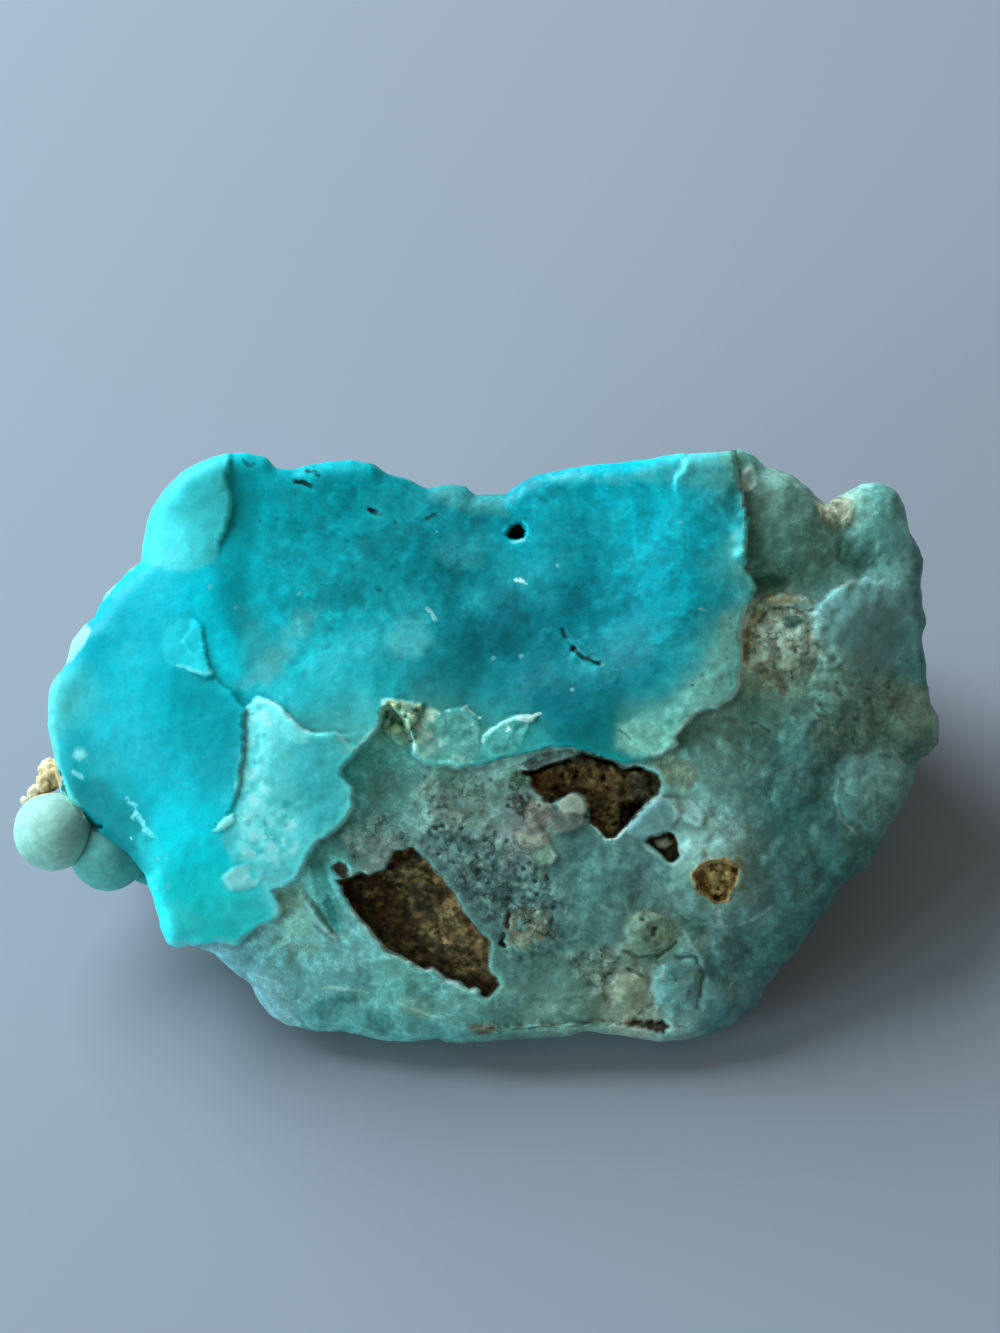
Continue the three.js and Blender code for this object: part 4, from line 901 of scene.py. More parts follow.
    line([17, 7.4, 17.6, 8, 18.6, 8.1, 19.3, 7.5, 19, 6.9], 0.14, 0xB4BEA8, 0.8, 0.3, 0.15, 0.04),
    area([17.9, 7.9, 18.7, 8, 19.2, 7.5, 18.6, 7.2, 18, 7.3], 0x2E584C, 0.85, 0.17, 0.2, 0.5),
    strewn(CRUST_RING, 1.8, 0.22, 0xC4C8A8, 11, 0.7),
    strewn(CRUST_RING, 2, 0.2, 0x426452, 12, 0.65),
    strewn([15.4, 7.8, 16.6, 8, 17, 5, 18, 3.6, 16.4, 3.4, 15.6, 4.6], 2.4, 0.2, 0xA0763E, 13, 0.6),
    spots([15.9, 6.4, 15.9, 5.5, 16.4, 5], 0.5, 0x967A44, 0.55, 0.5),
    spots([17.4, 3.9, 16.9, 4.4, 17.8, 3.6], 0.42, 0x967A4A, 0.5, 0.55),
    line([20.2, 8.9, 20.9, 9.4, 21.6, 9.8, 22.6, 10.1, 23.5, 10], 0.26, 0x8C9A82, 0.55, 0.65, 0.35, 0.05),
    line([15.9, 1.55, 16.4, 1.5, 16.8, 1.2, 17.1, 1], 0.08, DARK, 0.7, 0, 0.15, -0.1),
    spots([25.8, 1.9, 25, 2.4], 1, 0x6E765E, 0.35, 0.5),
    area([20.9, -3, 21.1, -1.6, 21.9, -0.7, 23, -0.2, 24.2, 0, 24.9, -0.9, 24.7, -2.6, 23.6, -4.3,
      22.4, -4.8, 21.3, -4.4], 0x709E96, 0.4, 0.3, 0.3),
    line([22, -4.8, 21.1, -3.9, 20.9, -2.8, 21.2, -1.6, 21.9, -0.8, 23, -0.3, 24.2, 0, 25, -0.9], 0.14,
      0x92BCB0, 0.6, 0.3, 0.15),
    line([17.1, -3.2, 17.5, -2, 18.5, -1.7, 19.3, -2.2], 0.12, 0x88B4A8, 0.55, 0.3, 0.15),
    area([12.6, -1.8, 12.9, 0.2, 14.2, 1.2, 15.8, 0.8, 16.6, -0.8, 16.4, -2.6, 15.2, -3.8, 13.6, -3.4],
      0x78A89A, 0.4, 0.4, 0.2),
    line([12.9, 0.2, 14.1, 1.1, 15.6, 0.9, 16.4, -0.2, 16.6, -1.6], 0.13, 0x8CB8AA, 0.5, 0.4, 0.2),
    # -- rings of the lower band --
    area([8.8, -10.7, 9.1, -9.9, 10.2, -9.8, 11.2, -10.4, 11.3, -11.4, 10.4, -12, 9.2, -11.9], 0x7A9278,
      0.7, 0.2, 0.2, 0.4),
    spots([10.2, -10.7, 10.4, -11.3, 9.8, -11.2], 0.3, 0x425C46, 0.7, 0.4),
    line([8.5, -11.6, 8.6, -10.6, 9, -9.8, 9.7, -9.5, 10.5, -9.65, 11.3, -10.2, 11.5, -11], 0.16, 0xACC2A8,
      0.75, 0.25, 0.15),
    line([11.4, -9.7, 11.8, -10.4, 12.3, -11.3, 12.7, -11.9, 13.3, -11.1], 0.16, 0xA0C4B8, 0.7, 0.25, 0.15),
    area([11.7, -9.8, 13.4, -9.9, 13.2, -10.9, 12.6, -11.4, 12.2, -10.9], 0x3E6E62, 0.7, 0.2, 0.2),
    area([8.1, -13.4, 8.7, -13, 9.9, -13.8, 10.1, -14.9, 8.9, -15.7, 8.1, -14.7], 0xA0AE8E, 0.75, 0.15,
      0.15, 0.3),
    area([10.3, -13.5, 11, -12.6, 12.4, -12.4, 13, -13.2, 12.7, -15, 11.6, -15.7, 10.4, -15], 0x70B4B2, 0.6,
      0.15, 0.15),
    line([10.3, -15.2, 10.1, -14.2, 10.3, -13.4, 11, -12.6], 0.13, 0xB0CCBC, 0.65, 0.3, 0.15),
    area([13.3, -12, 14.2, -12.2, 14.7, -13, 14.4, -13.8, 13.6, -13.7, 13.2, -12.9], 0x32625A, 0.6, 0.2,
      0.2),
    line([12.2, -9.9, 13, -10.3, 14, -10.4, 15.2, -10.35, 16.3, -9.9, 17.2, -9.2], 0.13, 0x9CC8BE, 0.75,
      0.25, 0.15, 0.05),
    line([8.1, -13, 7.95, -13.9, 8.3, -14.7], 0.2, 0xBECEBA, 0.7, 0.3, 0.15),
    line([8.7, -12.8, 9.9, -13.6, 10.2, -14.9, 9, -15.9], 0.15, 0x2C4C40, 0.75, 0.2, 0.15, -0.1),
    line([11.2, -12.3, 12.6, -12.2, 13.2, -13.2, 12.8, -15.2], 0.15, 0x28504C, 0.75, 0.2, 0.15, -0.1),
    line([8.4, -11.8, 9.4, -12.2, 10.6, -12.1, 11.5, -11.4], 0.15, 0x305042, 0.75, 0.2, 0.15, -0.1),
    line([13.3, -14.6, 14.3, -14.4, 15, -13.4, 14.8, -12.2], 0.13, 0x96BEB4, 0.7, 0.3, 0.15),
    spots([10.3, -10.5, 10.25, -10.9, 9.6, -9.95], 0.2, 0x223A2C, 0.75, 0.2, -0.15),
    # -- flecks, dashes and cracks of the blue face --
    line([2.1, 9.95, 2.5, 9.9, 2.8, 9.7], 0.2, 0xCEF4F2, 0.85, 0.2, 0.2),
    line([-3.1, 8.3, -2.8, 8, -2.6, 7.6], 0.17, 0xA0E6E8, 0.7, 0.3, 0.25),
    line([9.2, 9.75, 10, 9.5], 0.1, 0xB0F0F0, 0.7, 0.3),
    line([13, 8.35, 13.5, 8.25], 0.09, 0xA0E8EA, 0.7, 0.2),
    spots([-15.9, 9.6, 0.8, 5.4, 5.4, 3.5], 0.2, 0x96E6E8, 0.5, 0.5),
    spots([-14.4, 8.4, 9.6, 9.6, 8.3, 8.9, 11.8, 13.5, 13.3, 8.3, -2.5, 12.8, 2.4, 5.5, -7.6, 12.4,
      4.6, 10.8, 13.4, 12.2, -10.6, 9.2], 0.17, 0xA0E6E8, 0.5, 0.5),
    area([-14.2, 8.4, -13, 8.2, -11.6, 4.6, -12.4, 3.6, -14, 5], 0x46B8BC, 0.5, 1.2, 0.2),
    area([-14.3, 4, -12.6, 3.6, -10.6, 6, -9.4, 8.4, -10.6, 8.2, -12.6, 5.6], 0x6ECDCE, 0.45, 1, 0.35),
    area([-5, 5.4, -3.6, 5.4, -2.8, 6.6, -3.4, 7.8, -4.8, 7.6, -5.4, 6.4], 0x5ABEC0, 0.5, 0.8, 0.2),
    area([-3, 11.6, -1.4, 12.8, 0.6, 12.4, 0.2, 11, -1.6, 10.6], 0x3CAAB0, 0.4, 0.8, 0.4),
    area([-2.9, 15.2, -1.6, 15.7, -0.3, 15, 1.6, 14.9, 1.8, 13.8, 0.2, 13.9, -1.8, 14.3], 0x469C9A, 0.6,
      0.42, 0.1),
    line([4.9, 7, 5.1, 6.5, 5.5, 6.1], 0.14, DARK, 0.85, 0.25, 0.25, -0.12),
    spots([5.5, 5.9, 6.7, 5.15, 7, 5.1], 0.22, DARK, 0.9, 0.2, -0.2),
    line([5.5, 6, 6, 5.5, 6.4, 5.4, 7, 5.1], 0.17, DARK, 0.95, 0.2, 0.25, -0.12),
    area([5.2, 6.8, 6.2, 6.3, 7.6, 5.6, 8.2, 4.6, 8, 3.4, 7, 4.4, 6, 4.9, 5, 5.6], 0x1E8C90, 0.45, 0.3, 0.5,
      0.4),
    line([-6.5, 14.15, -6, 13.95], 0.22, DARK, 0.95, 0, 0.1, -0.1),
    line([-6, 14, -5.2, 13.5], 0.12, DARK, 0.8, 0.2),
    line([-13.9, 17, -13.5, 16.7, -13.2, 16.9], 0.17, DARK, 0.85, 0.1),
    line([-10.8, 15.8, -10.3, 15.7, -9.9, 15.5], 0.19, DARK, 0.95, 0, 0.1, -0.1),
    line([-10.2, 16.4, -9.7, 16.35, -9.4, 16.1], 0.16, DARK, 0.85, 0.1),
    line([-3.1, 13.6, -2.6, 13.9], 0.18, DARK, 0.85),
    spots([-5.9, 9.4, 11.4, 10.6, 12.5, 3.8, -4.9, 13.3, -12.9, 13.4, -12, 13.5], 0.2, DARK, 0.8),
    area([1.6, 12.6, 1.9, 13.1, 2.4, 13.35, 2.75, 12.9, 2.6, 12.45, 2, 12.35], 0x061210, 1, 0.08, 0, -1,
      0.6, -0.9),
    line([1.9, 12.2, 2.6, 12.3], 0.14, 0x8CCDC8, 0.6, 0.2),
    # -- between the left end and its lobes --
    area([-25.4, -0.7, -24.8, -0.8, -24.8, -2.2, -25.1, -2.7, -26, -2.4, -26.7, -2.8, -25.9, -1.9,
      -25.5, -1.5], 0xAAA88A, 0.9, 0.1, 0, 0.4),
    spots([-25.15, -1.05], 0.22, 0x140E08, 0.95, 0),
    line([-24.75, -1.4, -24.6, -2.1, -24.35, -2.8, -24, -3.3, -23.5, -3.6, -23, -4.05, -22.6, -4.5,
      -22.3, -4.5], 0.16, 0x06100E, 0.95, 0, 0.1, -0.3),
]


@dataclass(frozen=True)
class Washes:
    """Soft colours that blend into one another, as [across, up, reach, colour]."""

    places: Sequence[tuple[float, float, float, Colour]]

    def blend(self, u: Array, v: Array) -> Array:
        """Blends the washes into one colour a place.

        Args:
            u: places across.
            v: places up.

        Returns:
            n by 3 colours.
        """
        total = np.zeros((len(u), 3))
        weight = np.full(len(u), 1e-12)
        for x, y, reach, tint in self.places:
            w = np.exp(-((u - x) ** 2 + (v - y) ** 2) / (2 * reach**2)) + 1e-9
            total += w[:, None] * linear(tint)
            weight += w
        return total / weight[:, None]


BLUE_FACE = Washes([
    (-17.5, 14.5, 2, 0x1EDEE8), (-19.4, 11, 1.6, 0x00B8C8), (-21, 7, 2, 0x00ACBE),
    (-20, 2.5, 2.6, 0x00B8C6), (-24.3, 3, 1, 0x50BEBC), (-15.4, 2.4, 1, 0x00A2B0), (-15.6, -1, 1, 0x00B0C0),
    (-18, -2, 2, 0x00B4C2), (-23, -1.5, 1.2, 0x0EA8B0), (-21.3, -4, 1.4, 0x00727A),
    # the washes at (-16.8, -9.4) and (-14.4, -10.2), on the tongue, are painted light shining through its
    # thin edge
    (-16.6, -5.5, 1.8, 0x00E0EC), (-16.8, -9.4, 1.8, 0x1EFAFC), (-14.4, -10.2, 1.2, 0x3CFFFF),
    (-13.6, 13.5, 1.6, 0x00C8D4), (-14.6, 8.4, 1.8, 0x00E2F6), (-10, 14, 2.2, 0x00B0BE),
    (-7, 10.5, 2.4, 0x00949C), (-11.4, 6.6, 2, 0x10C8D4), (-8, 3.8, 1.6, 0x0AA0A8),
    (-4, 6.5, 1.6, 0x14949C), (-5, 13, 2, 0x00949E), (-1, 14.4, 1.2, 0x148E98), (0, 10, 2.2, 0x00828C),
    (3, 7, 2.4, 0x007682), (-1, 3.8, 1.3, 0x149299), (5, 3, 1.6, 0x007C86), (3, 13, 1.6, 0x00ACBC),
    (7, 15, 1.6, 0x00BED0), (6, 12.2, 1.5, 0x00848F), (11, 14.8, 1.7, 0x0AD4E6), (11, 11, 1.9, 0x00B4C4),
    (9, 8, 2, 0x008C9A), (8, 4.6, 1.7, 0x007680), (12, 6, 1.5, 0x10A8B0), (14.3, 6, 1, 0x78C6BC),
    (13.4, 3.6, 1, 0x82C6BA), (10, 1.2, 1, 0x60AC9C), (14, 16.4, 1.1, 0x68D4D4), (14.8, 11, 0.8, 0x46C8CA),
    (7, 0.8, 1.1, 0x0A8686), (-10, -2.5, 2, 0x6ED0CE), (-11, -7, 1.2, 0x96FFFF), (-8, 1.6, 1, 0x5AC2BE),
    (-2, 1, 1.3, 0x5AB0A6), (2, 0.6, 1, 0x3CA8A5),
])

GREEN_GROUND = Washes([
    (-7, -1.2, 1.4, 0x42C4BE), (-6, 1.2, 0.9, 0x6CBEAE), (-8.3, -5.8, 0.9, 0x50A296),
    (-9.4, -7.6, 0.9, 0x5CC8BE), (-5.2, -2.2, 1.4, 0x5A9E92), (-3, -3, 1.4, 0x70968A),
    (0, -2, 1.6, 0x8AB6A8), (-6.2, -5.6, 1, 0x7A9288), (-1, -6.4, 1.4, 0x4C6A62), (2, -8, 1.6, 0x4C6E66),
    (2.6, -5, 1, 0x7E827A), (6, -6.5, 1.6, 0x4A7A74), (9, -6.8, 1.2, 0x54847E), (9.5, -8.8, 1, 0x50807A),
    (4.4, -11, 1.4, 0x568274), (7, -10.4, 1.3, 0x568A80), (5, -14.8, 1.4, 0x688E7C),
    (2, -13.8, 1.2, 0x527E70), (13.6, -0.8, 1.8, 0x70A092), (14, -4.4, 1.4, 0x92C4B8),
    (11.8, 0.6, 0.8, 0x548E80), (16.8, 1.4, 1.4, 0x48887C), (18, -4, 1.8, 0x36726C),
    (17, -1.4, 1.4, 0x4C9088), (20.6, 0, 1.4, 0x3A6861), (23.4, -2.4, 1.6, 0x52847A),
    (22, -6.5, 1.6, 0x32665C), (19.6, -9, 1.8, 0x346A64), (18, -7.4, 1, 0x54827A),
    (15.2, -8.6, 1.2, 0x68968C), (12, -8.6, 1, 0x648C80), (17, -12, 1.6, 0x3A6E6A),
    (14, -13.6, 1.2, 0x507E76), (11.6, -14, 1.1, 0x7CA89E), (8.9, -14.2, 1, 0x9AA28A),
    (9.8, -11, 1.1, 0x889E82), (12.4, -11.6, 1, 0x669084), (10.6, -12.4, 0.8, 0x588A7C),
    (15.2, -15.4, 1, 0x3E6C70), (0, -16, 1.3, 0x487C72), (-5, -14.8, 1.8, 0x549E94),
    (-9, -12, 1.6, 0x70B2AA), (-12, -12.5, 1.5, 0x6EB2AE), (-11, -9.6, 1, 0xA0ECDC),
    (-14.8, -12.3, 1, 0x7AB8BE), (-9, -15.3, 1.3, 0x509692), (-4.6, -12.9, 0.9, 0x70B0A0),
    (-2, -16.6, 0.9, 0x488882), (-1.6, -14.8, 1.1, 0x76B8AC), (18.4, 13.4, 1.8, 0x446C60),
    (17, 11.2, 1.1, 0x427A6C), (15.8, 16.6, 0.7, 0x689C8E), (17.8, 15.8, 0.9, 0x548072),
    (20.4, 11.4, 1, 0x4A7E6E), (23.5, 13.6, 1.6, 0x508C84), (21.8, 14.3, 0.7, 0x789E8C),
    (24.6, 10.6, 1.1, 0x5A948E), (22, 11.4, 1, 0x4C8078), (22, 7.8, 1.9, 0x5A8E8A), (25.6, 6, 1, 0x468884),
    # the wash at (17, 9.8) is painted shade in the crevice right of the shell's edge
    (17.4, 6, 1.5, 0xACD2BA), (17, 9.8, 0.6, 0x386C5C), (17, 2.9, 1.1, 0x486C5A),
    (21.4, 4.4, 1.3, 0x629082), (22.4, 1.8, 1.3, 0x4E7A6E), (25.5, 1.8, 1, 0x5E7C6A),
    (19.2, 2, 1.1, 0x407268), (25.8, -0.2, 0.8, 0x3A645A), (-12, -16, 0.8, 0x82B0B6),
    (-13.2, -14.4, 0.8, 0x82B2B8),
])


class Relief:
    """The display side's height and outlines, kept as maps over the display plane."""

    LOW = (-29.0, -19.5)
    HIGH = (28.5, 19.5)
    SHELL_STEP = 1.5
    SHELL_FADE = 5.0
    WALL = 0.06
    EDGE = 0.35
    FRAY = 0.19
    FINE_FRAY = 0.09
    SPOT_REACH = 2.6
    LEAST_DEPTH = 0.3
    GROUND_GRAIN = 0.3
    SHELL_WAVE = 0.07
    GROUND_WAVE = 0.08
    FINE_WAVE = 0.02

    def __init__(self, pitch: float) -> None:
        """Lays out the maps.

        Args:
            pitch: their spacing in millimetres.
        """
        self.pitch = pitch
        across = np.arange(self.LOW[0], self.HIGH[0], pitch)
        up = np.arange(self.LOW[1], self.HIGH[1], pitch)
        self.shape = (len(across), len(up))
        grid_u, grid_v = np.meshgrid(across, up, indexing="ij")
        self.maps = self._baked(Sites(grid_u.ravel(), grid_v.ravel()))

    def _baked(self, sites: Sites) -> dict[str, Array]:
        """Works out the maps.

        Args:
            sites: every node of the maps.

        Returns:
            Each map by its name.
        """
        u, v, flat = sites.u, sites.v, flat_points(sites.u, sites.v)
        fine_u = self.FRAY * sites.fray_u + self.FINE_FRAY * lattice_noise(flat, 0.5, 3)
        fine_v = self.FRAY * sites.fray_v + self.FINE_FRAY * lattice_noise(flat, 0.5, 4)
        outline = gap_to_line(OUTLINE, u + 0.4 * fine_u, v + 0.4 * fine_v, True)
        shell = gap_to_line(SHELL, u + fine_u, v + fine_v, True)
        rim = -shell
        lump = np.zeros(u.shape)
        for cx, cy, radius, height in LUMPS:
            reach = np.hypot(u + 2.5 * fine_u - cx, v + 2.5 * fine_v - cy) / radius
            lump = np.maximum(lump, height * np.maximum(0.0, 1.0 - reach**2) ** 0.85)
        base = self._slow_height(u, v) + lump
        rise = self._step(-shell, self.SHELL_STEP, self.SHELL_FADE)
        for ledge in LEDGES:
            gap, height = beside_line(ledge.line, u + fine_u, v + fine_v)
            rise += self._step(gap, height, ledge.fade)
            rim = np.where(np.abs(gap) + (height < 0.12) < np.abs(rim), gap, rim)
        for path, lift, (tilt_u, tilt_v) in FACETS:
            middle = corners_of(path).mean(axis=0)
            gap = gap_to_line(path, u + 0.4 * fine_u, v + 0.4 * fine_v, True)
            plate = lift + tilt_u * (u - middle[0]) + tilt_v * (v - middle[1])
            rise += plate * np.clip(0.5 - gap / self.WALL / 3, 0.0, 1.0)
            rim = np.where(np.abs(gap) < np.abs(rim), -gap, rim)
        pocket = np.full(u.shape, np.inf)
        sunk = np.zeros(u.shape)
        for hollow in POCKETS:
            middle = corners_of(hollow.rim).mean(axis=0)
            gap = gap_to_line(hollow.rim, u + fine_u, v + fine_v, True)
            pocket = np.minimum(pocket, gap)
            depth = hollow.depth + (u - middle[0]) * hollow.fall[0] + (v - middle[1]) * hollow.fall[1]
            within = np.clip(0.5 - gap / self.WALL / 2, 0.0, 1.0)
            sunk = np.maximum(sunk, np.maximum(depth, self.LEAST_DEPTH) * within)
        rim = np.where(np.abs(pocket) < np.abs(rim), -pocket, rim)
        self._roughen(rise, sites, flat, smooth(-shell, -0.1, 0.1), smooth(-pocket, 0.0, 0.3))
        rise -= sunk
        maps = {"outline": outline, "shell": shell, "pocket": pocket, "rim": rim, "base": base}
        maps["detail"] = rise
        maps = {name: values.reshape(self.shape) for name, values in maps.items()}
        maps["rim_u"], maps["rim_v"] = np.gradient(maps["rim"], self.pitch)
        # height over the mean round it, which paints light on raised edges and shade in creases
        maps["edge"] = maps["detail"] - self._spread(maps["detail"], round(self.EDGE / self.pitch))
        return maps

    @staticmethod
    def _spread(heights: Array, reach: int) -> Array:
        """Evens out a map of heights.

        Args:
            heights: the map.
            reach: how many nodes each mean reaches to either side.

        Returns:
            The mean height round each node.
        """
        for _ in range(2):
            total = np.cumsum(np.pad(heights, [(reach + 1, reach), (0, 0)], mode="edge"), axis=0)
            heights = ((total[2 * reach + 1:] - total[:-2 * reach - 1]) / (2 * reach + 1)).T
        return heights

    @staticmethod
    def _roughen(rise: Array, sites: Sites, flat: Array, on_shell: Array, in_pocket: Array) -> None:
        """Adds the grain of the shell, the ground and the pockets, and the marks' relief.

        Args:
            rise: the relief so far, which it changes.
            sites: every node of the maps.
            flat: the nodes as points for a noise.
            on_shell: 1 on the shell, 0 beside it.
            in_pocket: 1 in a pocket, 0 beside it.
        """
        wave = waves(flat, 2.4, 61)
        fine = waves(flat, 0.7, 71, 3)
        ridge = 1.0 - np.abs(waves(flat, 1.5, 81, 4)) * 2.0
        grain = Relief.GROUND_GRAIN * (1.0 - on_shell)
        for mark in MARKS:
            if mark.lift or mark.grain >= 0.0:
                strength = sites.mask(mark)
                rise += mark.lift * strength
                if mark.grain >= 0.0:
                    grain += (mark.grain - grain) * strength
        ground = (1.0 - on_shell) * (1.0 - in_pocket)
        small = Relief.FINE_WAVE * fine
        rise += on_shell * (Relief.SHELL_WAVE * wave + small) + ground * (Relief.GROUND_WAVE * wave + small)
        rise += (1.0 - in_pocket) * grain * (0.1 * fine + 0.07 * ridge)
        rise += in_pocket * (0.3 * ridge + 0.12 * fine)

    @staticmethod
    def _slow_height(u: Array, v: Array) -> Array:
        """The surface through the height spots.

        Args:
            u: places across.
            v: places up.

        Returns:
            One height a place.
        """
        total = np.zeros(u.shape)
        weight = np.zeros(u.shape)
        for x, y, rise in HEIGHTS:
            w = np.exp(-((u - x) ** 2 + (v - y) ** 2) / (2.0 * Relief.SPOT_REACH**2)) + 1e-9
            total += w * rise
            weight += w
        return total / weight

    def _step(self, gap: Array, height: Array | float, fade: float) -> Array:
        """Lift of a broken edge: half its height up before it, half down beyond, then fading."""
        return np.clip(gap / self.WALL, -1.0, 1.0) * (height / 2.0) * np.exp(-np.abs(gap) / fade)

    def read(self, u: Array, v: Array, *names: str) -> list[Array]:
        """Reads maps between their nodes.

        Args:
            u: places across.
            v: places up.
            names: which maps.

        Returns:
            One array of values a map.
        """
        x = np.clip((u - self.LOW[0]) / self.pitch, 0, self.shape[0] - 1.001)
        y = np.clip((v - self.LOW[1]) / self.pitch, 0, self.shape[1] - 1.001)
        i, j = x.astype(int), y.astype(int)
        fx, fy = x - i, y - j
        found = []
        for name in names:
            m = self.maps[name]
            low = m[i, j] * (1 - fx) + m[i + 1, j] * fx
            high = m[i, j + 1] * (1 - fx) + m[i + 1, j + 1] * fx
            found.append(low * (1 - fy) + high * fy)
        return found


# ---- The stone ----


@dataclass(frozen=True)
class Lobe:
    """A ball grown at the left end, with its colour. Millimetres."""

    across: float
    up: float
    rise: float
    radius: float
    tint: Colour
    uneven: float = 0.03
    wave: float = 1.6

    def seat(self) -> Array:
        """The lobe's centre in the stone's frame, as 1 by 3 numbers."""
        return PLANE.spot((self.across, self.up, self.rise))

    def build(self) -> Object:
        """Makes the ball.

        Returns:
            Its object, in millimetres.
        """
        choose()
        bpy.ops.mesh.primitive_ico_sphere_add(subdivisions=5 if self.radius > 1 else 4, radius=self.radius)
        lobe = bpy.context.object
        points = read_points(lobe.data)
        lump = waves(points + self.seat(), self.wave, 101, 3)
        points *= (1.0 + self.uneven * lump)[:, None]
        write_points(lobe.data, points + self.seat())
        return lobe


@dataclass
class Stone:
    """The stone: one body, with round lobes and crumbs grown on it. Millimetres."""

    divisions: int = 8
    most_triangles: int = 182_000
    hidden_share: float = 0.27
    front_bias: float = 0.3
    core: Triple = (20.0, 10.0, 4.0)
    core_centre: Triple = (0.0, 1.0, -4.5)
    search_reach: float = 30.0
    search_step: float = 0.3
    rim_rounding: float = 1.1
    taper: float = 0.09
    taper_curve: float = 0.012
    back_rounding: float = 3.0
    back_centre: Triple = (0.2, -0.3, 8.5)
    back_reach: Triple = (32.0, 17.6, 26.0)
    back_power: float = 3.4
    dome_cell: float = 7.5
    dome_radius: float = 7.0
    dome_depth: float = 1.9
    dome_onset: float = 3.5
    foot_centre: Point = (0.4, -0.2)
    foot_reach: Point = (24.5, 15.2)
    foot_flat: float = 0.7
    foot_rise: float = 5.0
    foot_rounding: float = 0.6
    snap_width: float = 0.3
    lobes: tuple[Lobe, ...] = (
        Lobe(-25.1, -4.8, 0.9, 2.3, 0x9CCEC2),
        Lobe(-21.85, -6.05, -0.2, 2.25, 0x68B6B0),
        Lobe(-21.7, -2.6, -1.6, 2.9, 0x008C94),
        Lobe(-19.0, -5.4, -2.8, 2.6, 0x3C9C9E),
        Lobe(-25.05, -1.45, 0.2, 0.85, 0xCEBA96, 0.42, 0.45),
        Lobe(-25.35, -0.75, 0.3, 0.3, 0xD6C6A6, 0.5, 0.3),
        Lobe(-25.55, -2.1, 0.4, 0.62, 0xC4AE86, 0.5, 0.4),
        Lobe(-26.2, -2.55, 0.5, 0.42, 0xD6C8AC, 0.5, 0.35),
        Lobe(-26.75, -3.0, 0.4, 0.3, 0xD6CEB8, 0.5, 0.3),
    )

    def __post_init__(self) -> None:
        """Lays out the display side."""
        self.relief = Relief(0.08)

    # -- the body as a field: negative inside --

    def back_body(self, points: Array) -> Array:
        """A box with very round sides behind the display side.

        Args:
            points: n by 3 positions.

        Returns:
            About a distance outside it, one a point.
        """
        reach = np.abs(points - np.array(self.back_centre)) / np.array(self.back_reach)
        total = (reach**self.back_power).sum(axis=1) ** (1.0 / self.back_power)
        return (total - 1.0) * self.back_reach[1]

    def underside(self, points: Array) -> Array:
        """Height of the underside over the surface that the stone lies on.

        Args:
            points: n by 3 positions.

        Returns:
            One height a point, 0 over the foot.
        """
        x = (points[:, 0] - self.foot_centre[0]) / self.foot_reach[0]
        y = (points[:, 1] - self.foot_centre[1]) / self.foot_reach[1]
        turn = np.arctan2(y, x)
        wander = 0.07 * np.sin(3 * turn + 0.6) + 0.05 * np.sin(7 * turn + 2)
        return self.foot_rise * np.maximum(0.0, np.hypot(x, y) - self.foot_flat - wander) ** 1.7

    def field(self, points: Array) -> Array:
        """The body's field, about a distance outside it.

        Args:
            points: n by 3 positions.

        Returns:
            One number a point, negative inside.
        """
        u, v, rise = PLANE.as_seen(points)
        outline, height = self.relief.read(u, v, "outline", "base")
        back = self.back_body(points)
        value = np.maximum(outline, back)
        near = value <= 1.0
        front = (rise - height)[near]
        below = np.maximum(0.0, -front - self.rim_rounding)
        drawn_in = outline[near] + below * (self.taper + self.taper_curve * below)
        sides = rounded_max(drawn_in, back[near], self.back_rounding)
        crease = np.zeros(below.shape)
        deep = below > 0.0
        if deep.any():
            depth = crease_depth(points[near][deep], self.dome_cell, self.dome_radius)
            crease[deep] = smooth(below[deep], 0.0, self.dome_onset) * np.minimum(self.dome_depth, depth)
        body = rounded_max(front, sides + crease, self.rim_rounding)
        value[near] = rounded_max(body, self.underside(points[near]) - points[near, 2], self.foot_rounding)
        return value

    def surface_on(self, start: Array, direction: Array, reach: float) -> Array:
        """The outermost points of the body on rays, searched from far outside inwards.

        Args:
            start: n by 3 inner ends of the rays.
            direction: n by 3 unit directions.
            reach: how far out the search starts.

        Returns:
            n by 3 points.
        """
        far = np.full(len(start), reach)
        last = far.copy()
        value = self.field(start + direction * far[:, None])
        while True:
            going = np.nonzero((value > 0.0) & (far > 0.0))[0]
            if not len(going):
                break
            last[going] = far[going]
            far[going] -= np.maximum(self.search_step, value[going] * 0.5)
            value[going] = self.field(start[going] + direction[going] * far[going, None])
        near = far
        far = last
        for _ in range(11):
            middle = (near + far) / 2.0
            outside = self.field(start + direction * middle[:, None]) > 0.0
            far = np.where(outside, middle, far)
            near = np.where(outside, near, middle)
        return start + direction * near[:, None]

    def detailed(self, points: Array) -> Array:
        """Gives the display side its relief, with no point left on the wall of a rim.

        Args:
            points: n by 3 positions on the plain body, in millimetres.

        Returns:
            n by 3 positions.
        """
        u, v, rise = PLANE.as_seen(points)
        base, rim, rim_u, rim_v = self.relief.read(u, v, "base", "rim", "rim_u", "rim_v")
        below = base - rise
        front = 1.0 - smooth(below, 1.0, 3.0)
        steep = np.hypot(rim_u, rim_v)
        chosen = (front > 0.3) & (np.abs(rim) < self.snap_width) & (steep > 0.6) & (steep < 1.6)
        gap, steep = rim[chosen], steep[chosen]
        wall = self.relief.WALL * 1.15
        wanted = wall + (self.snap_width - wall) * (np.abs(gap) / self.snap_width) ** 2
        move = (np.where(gap < 0.0, -wanted, wanted) - gap) / steep**2
        u[chosen] += move * rim_u[chosen]
        v[chosen] += move * rim_v[chosen]
        base, detail = self.relief.read(u, v, "base", "detail")
        return PLANE.placed(u, v, base - below + front * detail)

    # -- building --

